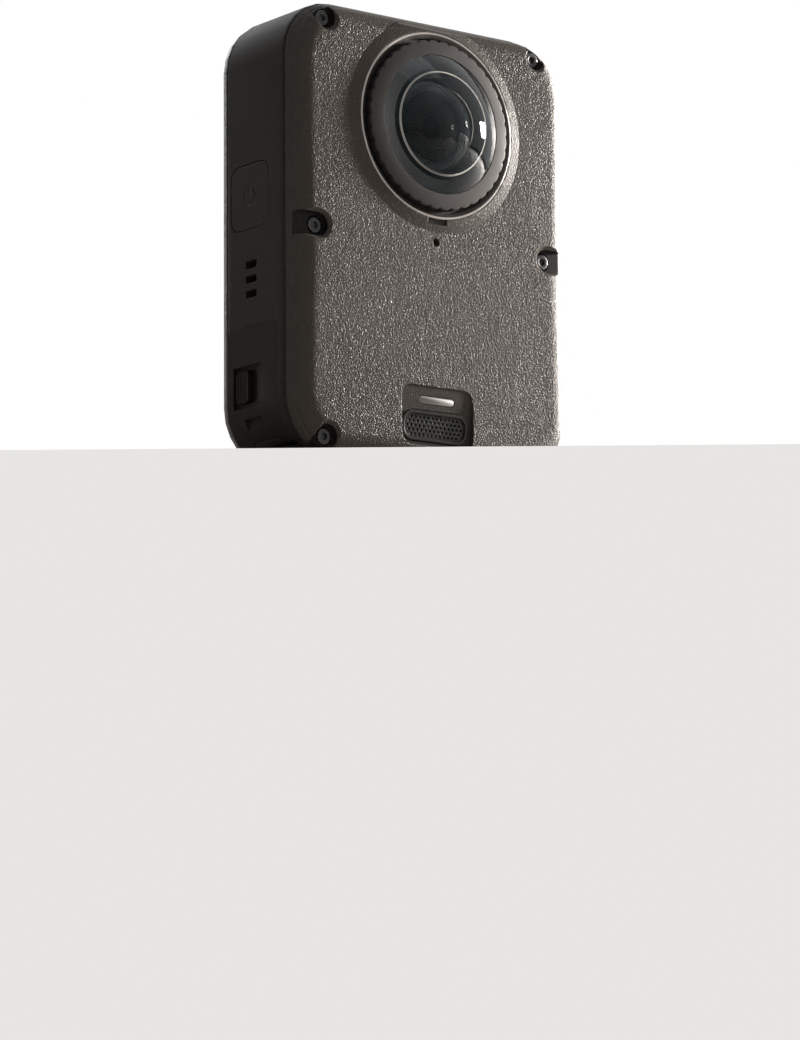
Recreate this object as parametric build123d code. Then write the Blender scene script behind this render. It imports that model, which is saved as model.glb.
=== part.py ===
# A pocket 360 degree camera: two fisheye lenses back to back in an upright body of rounded outline.
# The front faces -Y, the side with the power button and the battery door is -X, and the camera
# stands on z = 0 with its middle over the origin. All lengths are in millimetres.
import os
from math import asin, atan2, cos, degrees, radians, sin, sqrt, tan

from build123d import *

os.makedirs("parts", exist_ok=True)

# Body
body_width = 61.0
body_height = 81.0
body_depth = 24.0
corner_radius = 10.4
body_corner_flats = 6  # round forms are drawn in flats, to keep the whole part light
small_corner_flats = 3
rod_sides = 16
side_middle_y = 1.4  # middle plane of the side features, a little behind the body's own
overrun = 2.0  # how far a cutting shape runs past what it cuts
snug = 0.05  # gap between fixed pieces that are assembled into each other
slip = 0.1  # gap between a moving piece and what it passes

# Middle frame
frame_front_y = -8.2
frame_rear_y = 8.6
frame_wall = 2.2
frame_edge_bevel = 0.22
frame_edge_bevel_run = 0.5
lip_inset = 1.5
front_lip_height = 0.75
rear_lip_height = 0.4
post_radius = 2.2
post_length = 4.4
board_post_gap = 0.05  # between the front middle posts' feet and the main board that they hold

# Covers
seam_gap = 0.2
cover_thickness = 1.5
cover_wall_inset = 1.4
cover_haunch = 1.0
front_rim_inset = 0.25
front_band_inset = 0.85
front_band_height = 1.1
front_step = 0.1
front_roll_width = 3.2
roll_chords = 4
quarter_turn = 90.0
full_turn = 360.0
rear_rim_inset = 0.15
rear_roll_width = 3.3
rear_wall_height = 0.3
gasket_inset = 0.5
gasket_play = 0.02

# Cover screws and the pockets that they sit in
corner_screw_x = 23.6
top_screw_drop = 3.7
bottom_screw_rise = 3.2
middle_screw_x = 25.4
front_middle_screw_z = 40.1
rear_middle_screw_z = 43.6
screw_head_radius = 1.42
screw_head_height = 0.85
screw_shank_radius = 0.8
screw_length = 5.2
screw_socket_radius = 0.7
screw_socket_depth = 0.55
peg_sides = 8
pocket_sides = 12
screw_hole_play = 0.15
thread_play = 0.02
pocket_radius = 2.05
pocket_bevel = 0.62
pocket_bevel_degrees = 45.0
pocket_depth = 1.7
pocket_wall = 1.0
head_recess_depth = 0.7
head_recess_play = 0.33

# Lens modules: heights are above the face of the cover, negative ones lie under it
lens_sides = 32
inner_sides = 12
dome_rings = 4
inner_rings = 2
lens_axis_z = 61.1
bezel_radius = 16.9
bezel_seat_height = -0.95
bezel_top_height = 0.55
bezel_edge = 0.13
bezel_land = 0.23
bezel_channel_radius = 15.75
bezel_channel_height = 0.02
bezel_floor_height = -0.45
bezel_bore_radius = 14.3
bezel_ledge_radius = 15.9
collar_foot_radius = 19.3
collar_top_land = 0.25
collar_drop = 0.05
retainer_radius = 15.3
retainer_lobes = 40
retainer_lobe_depth = 0.14
retainer_lobe_radius = 3.3
retainer_rim_height = 0.9
retainer_play = 0.06
retainer_lip = 0.34
dome_edge_radius = 12.5
dome_edge_height = 1.67
dome_crown_height = 6.15
dome_flange_radius = 13.9
dome_flange_top = 1.3
dome_flange_bottom = 0.2
dome_hollow_radius = 9.25
dome_hollow_crown = 4.85
barrel_radius = 14.0
barrel_top_height = 0.1
barrel_shoulder_height = -4.0
barrel_neck_radius = 10.5
barrel_mouth_radius = 9.4
baffle_steps = 2
baffle_rise = 0.5
second_lens_radius = 6.8
second_lens_seat_height = -1.6
second_lens_rim = 0.55
second_lens_shoulder = 0.25
second_lens_crown = 1.3
second_lens_hollow_radius = 5.4
second_lens_hollow_crown = -0.5
stop_radius = 6.1
stop_height = -2.65
stop_thickness = 0.3
stop_opening = 2.1
group_radius = 4.95
group_top_height = -3.6
group_crown = 0.7
group_bottom_height = -7.9
sensor_chamber_radius = 9.0
sensor_chamber_height = -8.2
sensor_width = 12.5
sensor_height = 9.5
sensor_thickness = 0.7
sensor_board_height = -9.7
sensor_board_size = 22.0
sensor_board_thickness = 0.8
bracket_thickness = 3.0

# Index notch under the front lens and the microphone hole
index_notch_width = 4.2
index_notch_drop = 1.0
index_notch_depth = 0.6
mic_z = 40.1
mic_hole_radius = 0.78
mic_size = 3.4
mic_thickness = 1.1

# Recess at the foot of the front with the status light and the speaker grille
recess_width = 15.9
recess_top_z = 14.1
recess_bottom_z = 3.5
recess_corner = 2.0
recess_top_depth = 0.2
recess_bottom_depth = 1.3
recess_pad_margin = 1.4
recess_pad_depth = 0.95
light_length = 7.8
light_width = 1.33
light_z = 11.65
light_thickness = 1.8
light_stand = 0.05
light_play = 0.1
grille_width = 14.7
grille_height = 5.4
grille_corner = 2.3
grille_z = 7.1
grille_rim_stand = 0.22
grille_rim_width = 0.75
grille_field_drop = 0.12
grille_thickness = 1.0
grille_rows = 3
grille_columns = 9
grille_pitch = 1.25
grille_hole_radius = 0.45
grille_hole_sides = 4
speaker_width = 13.0
speaker_height = 6.6
speaker_thickness = 2.9
speaker_cone_width = 10.4
speaker_cone_height = 4.4
speaker_cone_depth = 0.6

# Power button, on the -X side, and its key switch
power_width = 11.4
power_height = 11.6
power_corner = 2.3
power_z = 46.8
power_y = 1.75
button_travel = 0.35
button_edge = 0.2
button_cap_thickness = 1.25
button_core_width = 3.6
button_core_height = 6.4
button_tab_height = 8.4
button_tab_thickness = 0.5
button_nub_radius = 1.1
button_nub_height = 0.35
key_board_width = 5.2
key_board_height = 10.8
key_board_thickness = 0.8
key_standoff_height = 0.8
key_switch_size = 3.6
key_switch_height = 0.55
symbol_radius = 1.8
symbol_line = 0.34
symbol_depth = 0.12
symbol_opening_degrees = 64.0
symbol_bar_length = 2.1
symbol_bar_rise = 0.35

# Quick switch button, on the +X side
quick_width = 5.4
quick_height = 13.0
quick_corner = 2.2
quick_z = 46.8

# Vent slots, on the -X side
vent_width = 3.3
vent_height = 1.4
vent_corner = 0.3
vent_count = 3
vent_pitch = 2.62
vent_middle_z = 32.0
vent_membrane_margin = 0.9
vent_membrane_thickness = 0.3

# Battery door, on the -X side, hinged on the bottom corner
door_front_y = -6.35
door_top_z = 23.6
door_corner = 1.6
door_skin = 1.5
door_gap = 0.1
hinge_slope_degrees = 45.0
knuckle_radius = 1.25
hinge_pin_radius = 0.5
hinge_play = 0.05
hinge_swing_gap = 0.2
hinge_end_gap = 0.15
hinge_pin_inset = 1.0
front_knuckle_length = 3.2
rear_knuckle_length = 4.1
lug_web = 1.9
lug_reach = 2.9
door_opening_front_y = -5.3
door_opening_rear_y = 7.9
door_opening_top_z = 22.9
door_rib_inset = 2.25
door_rib_height = 0.8
door_plate_thickness = 0.6
door_plate_front_y = -5.1
door_plate_rear_y = 7.3
door_plate_bottom_z = 7.2
door_plate_top_z = 22.6
door_seal_width = 0.8
door_seal_height = 0.5
door_angle_degrees = 90.0

# Latch in the battery door
latch_recess_front_y = -2.35
latch_recess_rear_y = 6.8
latch_recess_bottom_z = 9.4
latch_recess_top_z = 16.85
latch_recess_depth = 0.85
latch_recess_ramp_y = 0.9
latch_window_front_y = 0.9
latch_window_rear_y = 6.4
latch_window_bottom_z = 10.3
latch_window_top_z = 16.2
latch_window_corner = 1.0
latch_knob_width = 3.5
latch_knob_inset = 0.28
latch_travel = 1.8
latch_plate_thickness = 0.55
latch_plate_front_y = -0.9
latch_plate_rear_y = 7.0
latch_plate_bottom_z = 9.9
latch_plate_top_z = 16.9
latch_tongue_width = 3.0
latch_tongue_rear_y = 8.5
latch_grooves = 5
latch_groove_width = 0.3
latch_groove_depth = 0.22

# Quick release notches, one low on each side
claw_notch_width = 5.1
claw_notch_top_z = 7.5
claw_notch_inset = 1.2

# Battery and its bay
battery_length = 44.0
battery_thickness = 13.0
battery_height = 14.0
battery_left_x = -26.4
battery_rear_y = 7.8
battery_bottom_z = 6.6
battery_corner = 1.2
battery_play = 0.2
bay_wall = 0.6
bay_flange_inset = 3.45
contact_count = 4
contact_pitch = 2.4
contact_width = 0.8
contact_height = 5.0
contact_block_width = 0.7

# Memory card, above the battery
card_length = 15.0
card_width = 11.0
card_thickness = 1.0
card_left_x = -22.8
card_z = 22.3
card_middle_y = 1.6
card_notch = 0.7
card_mouth = 1.2
card_out_travel = 3.0
card_push_travel = 0.6
socket_wall = 0.35
card_stop_gap = 0.9

# Port door, on the +X side
port_door_width = 9.0
port_door_top_z = 27.5
port_hinge_z = 12.6
port_skin = 1.5
port_corner = 1.5
port_knuckle_radius = 1.2
port_opening_width = 3.8
port_opening_height = 9.7
port_opening_z = 20.3
port_plug_width = 2.9
port_plug_height = 8.7
port_plug_depth = 1.1
port_pull_width = 4.0
port_pull_height = 0.7
port_pull_depth = 0.8
port_angle_degrees = 100.0
port_lug_half = 1.45
port_backing = 0.8
socket_outer_width = 3.2
socket_outer_height = 8.94
socket_inner_width = 2.56
socket_inner_height = 8.34
socket_length = 7.3
socket_tongue_width = 0.7
socket_tongue_height = 6.7
socket_tongue_length = 5.6
socket_back_wall = 0.8
io_board_thickness = 0.8
io_board_width = 8.2
io_board_bottom_z = 15.7
io_board_top_z = 28.2

# Touch screen and record button, on the rear
screen_width = 49.0
screen_height = 28.4
screen_corner = 2.6
screen_z = 26.3
screen_glass_thickness = 1.0
screen_play = 0.12
screen_sink = 0.05
panel_width = 46.0
panel_height = 26.0
panel_thickness = 1.6
panel_corner = 0.8
record_radius = 3.6
record_sides = 20
record_z = 6.5
record_stand = 0.3
record_dish_radius = 2.9
record_dish_depth = 0.2
record_dish_degrees = 60.0
glass_edge = 0.2
record_flange_width = 0.4
record_flange_thickness = 0.5
record_board_thickness = 0.4
record_switch_height = 0.4

# Boards and inner metalwork
board_width = 48.8
board_bottom_z = 25.2
board_top_z = 43.6
board_thickness = 1.0
board_front_y = -2.6
shield_width = 19.0
shield_height = 14.0
shield_thickness = 2.0
spreader_width = 40.0
spreader_height = 17.0
spreader_thickness = 0.9
bracket_width = 45.0
bracket_height = 22.0
bracket_arm_height = 6.0
bracket_hole_radius = 3.0

# Tripod insert, in the base
thread_radius = 3.175
thread_depth = 5.0
insert_radius = 4.7
insert_height = 5.5
insert_flange_radius = 5.3
insert_flange_height = 0.9
insert_boss_wall = 1.3

half_width = body_width / 2
half_depth = body_depth / 2
middle_z = body_height / 2


def rounded_points(width, height, radius, flats):
    """The points of a rounded rectangle whose corners are each drawn in a few flats."""
    points = []
    for quarter, (side_x, side_y) in enumerate(((1, 1), (-1, 1), (-1, -1), (1, -1))):
        for i in range(flats + 1):
            turn = radians(quarter_turn * (quarter + i / flats))
            points.append((side_x * (width / 2 - radius) + radius * cos(turn),
                           side_y * (height / 2 - radius) + radius * sin(turn)))
    return points


def rounded(width, height, radius):
    """A rounded rectangle of a small piece."""
    return make_face(Polyline(*rounded_points(width, height, radius, small_corner_flats), close=True))


def slot(length, width):
    """A round-ended slot along the first axis of its sketch."""
    reach = (length - width) / 2
    shape = Rectangle(2 * reach, width)
    for side in (-1, 1):
        shape += Pos(side * reach, 0) * RegularPolygon(width / 2, pocket_sides)
    return shape


def upright_slot(length, width):
    """A round-ended slot along the second axis of its sketch."""
    return Rot(0, 0, quarter_turn) * slot(length, width)


def outline_points(inset):
    """The points of the camera's rounded outline, seen from the front and drawn in by inset."""
    points = rounded_points(body_width - 2 * inset, body_height - 2 * inset, corner_radius - inset,
                            body_corner_flats)
    return [(x, z + middle_z) for x, z in points]


def outline(inset):
    """The camera's rounded outline as a sketch, drawn in by inset."""
    return make_face(Polyline(*outline_points(inset), close=True))


def slab(sketch, y_from, y_to):
    """An upright sketch, drawn in x and z, carried between two depths."""
    low, high = sorted((y_from, y_to))
    return extrude(Plane.XZ.offset(-high) * sketch, amount=high - low)


def side_slab(sketch, x_from, x_to):
    """A sketch drawn in y and z, carried from one x to another."""
    low, high = sorted((x_from, x_to))
    return extrude(Plane.YZ.offset(low) * sketch, amount=high - low)


def flat_slab(sketch, z_from, z_to):
    """A sketch drawn in x and y, carried from one z to another."""
    return extrude(Plane.XY.offset(z_from) * sketch, amount=z_to - z_from)


def span(x_from, x_to, z_from, z_to):
    """A rectangle between four coordinates of an upright sketch."""
    middle = Pos((x_from + x_to) / 2, (z_from + z_to) / 2)
    return middle * Rectangle(abs(x_to - x_from), abs(z_to - z_from))


def block(x_from, x_to, y_from, y_to, z_from, z_to):
    """A box between six coordinates."""
    middle = Pos((x_from + x_to) / 2, (y_from + y_to) / 2, (z_from + z_to) / 2)
    return middle * Box(abs(x_to - x_from), abs(y_to - y_from), abs(z_to - z_from))


def rod_y(x, z, radius, y_from, y_to):
    """A round rod along y."""
    return slab(Pos(x, z) * RegularPolygon(radius, rod_sides), y_from, y_to)


def bore_y(x, z, radius, y_from, y_to):
    """A round cut along y, with the middles of its flats at the radius."""
    return slab(Pos(x, z) * RegularPolygon(radius, rod_sides, major_radius=False), y_from, y_to)


def peg_y(x, z, radius, y_from, y_to):
    """A screw or pin along y, or the hole that it is pressed into."""
    return slab(Pos(x, z) * RegularPolygon(radius, peg_sides), y_from, y_to)


def left(inset):
    """The x of the -X side's surface, drawn in by inset."""
    return inset - half_width


def ring_solid(rings):
    """The solid whose flats join each closed ring of points to the next, and the last to the first."""
    faces = []
    for near, far in zip(rings, rings[1:] + rings[:1]):
        for i in range(len(near)):
            corners = []
            for corner in (near[i - 1], near[i], far[i], far[i - 1]):
                if corner not in corners:
                    corners.append(corner)
            if len(corners) > 2:
                faces.append(make_face(Polyline(*corners, close=True)))
    return Solid(Shell(faces)).clean()


def turned(section, sides):
    """A piece turned about the lens axis in narrow flats, from a closed (radius, height) section."""
    turns = [radians(full_turn * i / sides) for i in range(sides)]
    return ring_solid([
        [(radius * cos(turn), radius * sin(turn), height) for turn in turns] for radius, height in section
    ])


def cap_points(edge_radius, edge_height, crown_height, rings):
    """The section of a domed face in a few chords, from its crown on the lens axis to its edge."""
    rise = crown_height - edge_height
    sphere = (edge_radius ** 2 + rise ** 2) / (2 * rise)
    spread = asin(edge_radius / sphere)
    middle = crown_height - sphere
    return [
        (sphere * sin(spread * i / rings), middle + sphere * cos(spread * i / rings))
        for i in range(rings + 1)
    ]


front_lens = Plane(origin=(0, -half_depth, lens_axis_z), x_dir=(1, 0, 0), z_dir=(0, -1, 0)).location
rear_lens = Plane(origin=(0, half_depth, lens_axis_z), x_dir=(-1, 0, 0), z_dir=(0, 1, 0)).location


def save(shape, name):
    """Write one sub-part's solids under its own name."""
    shape.label = name
    export_step(shape, "parts/" + name + ".step")


def screw_places(middle_screw_z):
    """The x, z and outward angle in degrees of a cover's six screws."""
    places = []
    for side in (-1, 1):
        corner_x = side * (half_width - corner_radius)
        for z, corner_z in (
            (body_height - top_screw_drop, body_height - corner_radius),
            (bottom_screw_rise, corner_radius),
        ):
            x = side * corner_screw_x
            places.append((x, z, degrees(atan2(z - corner_z, x - corner_x))))
        places.append((side * middle_screw_x, middle_screw_z, 90 - side * 90))
    return places


front_screws = screw_places(front_middle_screw_z)
rear_screws = screw_places(rear_middle_screw_z)
front_seats_y = frame_front_y - front_lip_height - snug
rear_seats_y = frame_rear_y + rear_lip_height + snug


# Covers

def rim(points, roll_from, roll_to):
    """A cover's wall section carried once round the outline.

    The section is a chain of (inset, depth) points, closed by a quarter of an ellipse in a few
    chords that roll the wall into the face, from roll_from to roll_to.
    """
    width = roll_to[0] - roll_from[0]
    depth = roll_to[1] - roll_from[1]
    roll = []
    for i in range(roll_chords):
        turn = radians(quarter_turn * i / roll_chords)
        roll.append((roll_to[0] - width * cos(turn), roll_from[1] + depth * sin(turn)))
    return ring_solid([[(x, y, z) for x, z in outline_points(inset)] for inset, y in points + roll])


def pocket_shape(place, radius):
    """The U of a screw pocket, open towards the edge of the cover."""
    x, z, angle = place
    channel = Pos(corner_radius / 2, 0) * Rectangle(corner_radius, 2 * radius)
    return Pos(x, z) * Rot(0, 0, angle) * (RegularPolygon(radius, pocket_sides) + channel)


def lens_hole(radius, low, high, seat):
    """A round cut on the lens axis between two heights over a cover's face."""
    return seat * turned([(0, low), (radius, low), (radius, high), (0, high)], lens_sides)


def collar(seat, forward):
    """The low grained slope that lifts the cover's face up to the lens bezel."""
    top_height = bezel_top_height - collar_drop
    top_radius = bezel_radius + collar_top_land
    base_height = -cover_thickness
    slope = top_height / (collar_foot_radius - top_radius)
    skirt_radius = collar_foot_radius + overrun * slope
    cone = seat * turned([
        (0, base_height), (skirt_radius, base_height), (collar_foot_radius, 0),
        (top_radius, top_height), (0, top_height),
    ], lens_sides)
    face = half_depth
    low = face - cover_thickness
    high = face + top_height
    inset_low = cover_wall_inset
    spread = (body_height / 2 - (lens_axis_z - middle_z) - top_radius) - inset_low
    envelope = extrude(
        Plane.XZ.offset(-forward * low) * outline(inset_low),
        amount=-forward * (high - low),
        taper=degrees(atan2(spread, high - low)),
    )
    return cone & envelope


def cover(forward, seam_y, rim_inset, band, roll_from, roll_width, screws, seats_low, seat):
    """A front or rear cover: rolled shell, lens collar, screw seats, pockets and lens hole."""
    face = forward * half_depth
    inner = forward * (half_depth - cover_thickness)
    wall_y = seam_y + forward * seam_gap
    roll_to = (roll_from[0] + roll_width, face)
    shell = rim([
        (roll_to[0], face), (roll_to[0], inner),
        (cover_wall_inset + cover_haunch, inner), (cover_wall_inset, inner - forward * cover_haunch),
        (cover_wall_inset, wall_y), (rim_inset, wall_y), *band,
    ], roll_from, roll_to)
    shell += slab(outline(roll_to[0]), inner, face)
    shell += collar(seat, forward)
    seats = Sketch() + [pocket_shape(place, pocket_radius + pocket_wall) for place in screws]
    shell += slab(seats & outline(cover_wall_inset), seats_low, inner)
    floor = half_depth - pocket_depth
    out = forward * (half_depth + overrun)
    head_seat = floor - head_recess_depth
    for place in screws:
        x, z, angle = place
        shell -= slab(pocket_shape(place, pocket_radius), forward * floor, out)
        shell -= peg_y(x, z, screw_head_radius + head_recess_play, forward * head_seat, out)
        shell -= peg_y(x, z, screw_shank_radius + screw_hole_play, 0, out)
        shell -= pocket_bevel_cut(place, forward)
    shell -= lens_hole(bezel_radius + snug, bezel_seat_height, overrun, seat)
    shell -= lens_hole(bezel_ledge_radius, -overrun, overrun, seat)
    return shell


def pocket_bevel_cut(place, forward):
    """The bevel round a screw pocket's mouth, cut from the face of the cover."""
    return extrude(
        Plane.XZ.offset(-forward * (half_depth - pocket_bevel)) * pocket_shape(place, pocket_radius),
        amount=-forward * (pocket_bevel + bezel_top_height),
        taper=-pocket_bevel_degrees,
    )


def recess_plane():
    """The sloping floor of the recess at the foot of the front, with its origin at its top edge."""
    run = recess_top_z - recess_bottom_z
    drop = recess_bottom_depth - recess_top_depth
    length = sqrt(run ** 2 + drop ** 2)
    normal = (0, -run / length, -drop / length)
    return Plane(origin=(0, recess_top_depth - half_depth, recess_top_z), x_dir=(1, 0, 0), z_dir=normal)


recess_floor = recess_plane()
recess_slope = atan2(recess_bottom_depth - recess_top_depth, recess_top_z - recess_bottom_z)


def on_floor(z):
    """How far down the recess's sloping floor a height above the base lies."""
    return (z - recess_top_z) / cos(recess_slope)


def floor_slab(sketch, low, high):
    """A sketch on the recess's floor carried between two heights over it."""
    return extrude(recess_floor.offset(low) * sketch, amount=high - low)


def light_shape(play):
    """The status light's long round-ended outline."""
    return Pos(0, on_floor(light_z)) * slot(light_length + 2 * play, light_width + 2 * play)


def grille_shape(inset):
    """The speaker grille's outline, drawn in by inset."""
    shape = rounded(grille_width - 2 * inset, grille_height - 2 * inset, grille_corner - inset)
    return Pos(0, on_floor(grille_z)) * shape


def make_front_cover():
    """The grained front cover, with the light and speaker recess, microphone hole and index notch."""
    band_y = frame_front_y - seam_gap - front_band_height
    shell = cover(-1, frame_front_y, front_rim_inset, [(front_band_inset, band_y)],
                  (front_band_inset + front_step, band_y), front_roll_width, front_screws,
                  front_seats_y, front_lens)
    inner = cover_thickness - half_depth
    pad_width = recess_width + 2 * recess_pad_margin
    pad = span(-pad_width / 2, pad_width / 2, recess_bottom_z - recess_pad_margin,
               recess_top_z + recess_pad_margin)
    shell += slab(pad, inner + recess_pad_depth, inner)
    opening = Pos(0, (recess_bottom_z + recess_top_z) / 2) * rounded(
        recess_width, recess_top_z - recess_bottom_z, recess_corner)
    shell -= slab(opening, half_depth, -half_depth - overrun) & floor_slab(
        Rectangle(body_width, body_height), 0, half_depth)
    shell -= floor_slab(light_shape(light_play), -half_depth / 2, overrun)
    shell -= floor_slab(grille_shape(-light_play), -half_depth / 2, overrun)
    shell -= peg_y(0, mic_z, mic_hole_radius, inner + overrun, -half_depth - overrun)
    notch_top = lens_axis_z - bezel_radius
    notch_half = index_notch_width / 2
    notch = span(-notch_half, notch_half, notch_top - index_notch_drop, notch_top + index_notch_drop)
    notch_floor = index_notch_depth - (half_depth + bezel_top_height - collar_drop)
    return shell - slab(notch, notch_floor, -half_depth - overrun)


def screen_shape(width, height, corner):
    """A rounded outline centred on the touch screen."""
    return Pos(0, screen_z) * rounded(width, height, corner)


def make_rear_cover():
    """The rear cover, with the touch screen's seat and the record button's hole."""
    wall_top = frame_rear_y + seam_gap + rear_wall_height
    shell = cover(1, frame_rear_y, rear_rim_inset, [], (rear_rim_inset, wall_top), rear_roll_width,
                  rear_screws, rear_seats_y, rear_lens)
    glass_seat = half_depth - screen_sink - screen_glass_thickness - snug
    glass = screen_shape(screen_width + 2 * screen_play, screen_height + 2 * screen_play,
                         screen_corner + screen_play)
    shell -= slab(glass, glass_seat, half_depth + overrun)
    window = screen_shape(panel_width + 2 * snug, panel_height + 2 * snug, panel_corner + snug)
    shell -= slab(window, frame_rear_y, half_depth + overrun)
    hole = Pos(0, record_z) * RegularPolygon(record_radius + slip, record_sides)
    return shell - slab(hole, frame_rear_y, half_depth + overrun)


def cover_gasket(seam_y, forward):
    """The thin seal clamped between a cover's rim and the frame."""
    ring = outline(gasket_inset) - outline(cover_wall_inset)
    return slab(ring, seam_y + forward * gasket_play, seam_y + forward * (seam_gap - gasket_play))


def cover_screws(screws, forward):
    """The six small socket screws of one cover."""
    head_bottom = half_depth - pocket_depth - head_recess_depth + gasket_play
    head_top = head_bottom + screw_head_height
    pieces = []
    for x, z, angle in screws:
        head = peg_y(x, z, screw_head_radius, forward * head_bottom, forward * head_top)
        shank = peg_y(x, z, screw_shank_radius, forward * (head_top - screw_length), forward * head_bottom)
        socket = slab(Pos(x, z) * RegularPolygon(screw_socket_radius, 6),
                      forward * (head_top - screw_socket_depth), forward * (head_top + overrun))
        pieces.append(head + shank - socket)
    return Compound(children=pieces)


# Hinges

def swing_clearance(knuckle, angle_degrees):
    """The radius to clear round a hinge for its leaf to swing outward by an angle."""
    angle = radians(angle_degrees)
    drop = (knuckle * (1 - cos(angle)) + hinge_swing_gap) / sin(angle)
    return sqrt(knuckle ** 2 + drop ** 2)


left_corner_x = corner_radius - half_width
hinge_slope = radians(hinge_slope_degrees)
hinge_x = left_corner_x - (corner_radius - knuckle_radius) * cos(hinge_slope)
hinge_z = corner_radius - (corner_radius - knuckle_radius) * sin(hinge_slope)
hinge_clear = swing_clearance(knuckle_radius, door_angle_degrees)
hinge_bore_radius = hinge_pin_radius + hinge_play
hinge_press_radius = hinge_pin_radius + thread_play
door_rear_y = frame_rear_y - door_gap
front_knuckle = (door_front_y + hinge_end_gap, door_front_y + hinge_end_gap + front_knuckle_length)
rear_knuckle = (door_rear_y - hinge_end_gap - rear_knuckle_length, door_rear_y - hinge_end_gap)
door_lug = (front_knuckle[1] + hinge_end_gap, rear_knuckle[0] - hinge_end_gap)
door_pin = (door_front_y - hinge_pin_inset, door_rear_y - hinge_pin_inset / 2)

port_hinge_x = half_width - port_knuckle_radius
port_clear = swing_clearance(port_knuckle_radius, port_angle_degrees)
port_front_y = side_middle_y - port_door_width / 2
port_rear_y = side_middle_y + port_door_width / 2
port_lug = (side_middle_y - port_lug_half, side_middle_y + port_lug_half)
port_front_knuckle = (port_front_y, port_lug[0] - hinge_end_gap)
port_rear_knuckle = (port_lug[1] + hinge_end_gap, port_rear_y)
port_pin = (port_front_y - hinge_pin_inset, port_rear_y + hinge_pin_inset)


# Middle frame

def above_hinge(reach_z):
    """The corner and side of the outline on the battery door's side of its hinge."""
    reach = body_height
    half_plane = Rot(0, 0, 180 - hinge_slope_degrees) * Pos(reach / 2, 0) * Rectangle(reach, 2 * reach)
    return (Pos(hinge_x, hinge_z) * half_plane) & span(-half_width - overrun, left_corner_x, 0, reach_z)


def door_face(play):
    """The battery door's outline seen from its side, grown by play."""
    top = door_top_z + play
    front = door_front_y - play
    rear = door_rear_y + play
    shape = Pos((front + rear) / 2, top / 2) * Rectangle(rear - front, top)
    return fillet(shape.vertices().sort_by(Axis.Y)[-2:], door_corner + play)


def side_shape(y, z, width, height, corner, play):
    """A rounded rectangle in y and z, grown by play."""
    return Pos(y, z) * rounded(width + 2 * play, height + 2 * play, corner + play)


def claw_notch(side):
    """The quick release claw's notch, low on one side."""
    half = claw_notch_width / 2
    return block(side * (half_width - claw_notch_inset), side * (half_width + overrun),
                 side_middle_y - half, side_middle_y + half, 0, claw_notch_top_z)


def edge_bevel(seam_y, forward):
    """The ring that bevels the outer edge of one end of the frame."""
    start = seam_y - forward * frame_edge_bevel_run
    core = extrude(
        Plane.XZ.offset(-start) * outline(0),
        amount=-forward * frame_edge_bevel_run,
        taper=degrees(atan2(frame_edge_bevel, frame_edge_bevel_run)),
    )
    return slab(outline(-overrun), start, seam_y) - core


def screw_post(place, foot, end):
    """A post for one cover screw, joined to the wall, and the pilot hole through it."""
    x, z, angle = place
    post = Pos(x, z) * RegularPolygon(post_radius, peg_sides)
    if abs(x) == middle_screw_x:
        wall_x = half_width - frame_wall / 2
        post = post + span(x, wall_x if x > 0 else -wall_x, z - post_radius / 2, z + post_radius / 2)
    return slab(post & outline(lip_inset), foot, end)


def button_pocket(side, y, z, width, height, corner):
    """The stepped hole of a side button: a pocket for its cap and a window for its core."""
    pocket_inset = button_cap_thickness + button_travel + snug
    cap = side_shape(y, z, width, height, corner, slip)
    core = Pos(y, z) * Rectangle(button_core_width + 2 * slip, button_core_height + 2 * slip)
    pocket = side_slab(cap, side * (half_width - pocket_inset), side * (half_width + overrun))
    window = side_slab(core, side * (half_width - frame_wall - overrun), side * half_width)
    return pocket + window


def key_standoffs(side, y, z):
    """The two ledges inside the wall that carry a side button's key board."""
    wall_x = side * (half_width - frame_wall / 2)
    board_x = side * key_board_x
    pieces = []
    for up in (-1, 1):
        outer_z = z + up * key_board_height / 2
        inner_z = outer_z - up * key_standoff_height
        pieces.append(block(wall_x, board_x, y - button_core_width / 2, y + button_core_width / 2,
                            min(inner_z, outer_z), max(inner_z, outer_z)))
    return pieces


key_board_x = (half_width - frame_wall - snug - button_tab_thickness - button_nub_height
               - button_travel - snug - key_switch_height)


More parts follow.
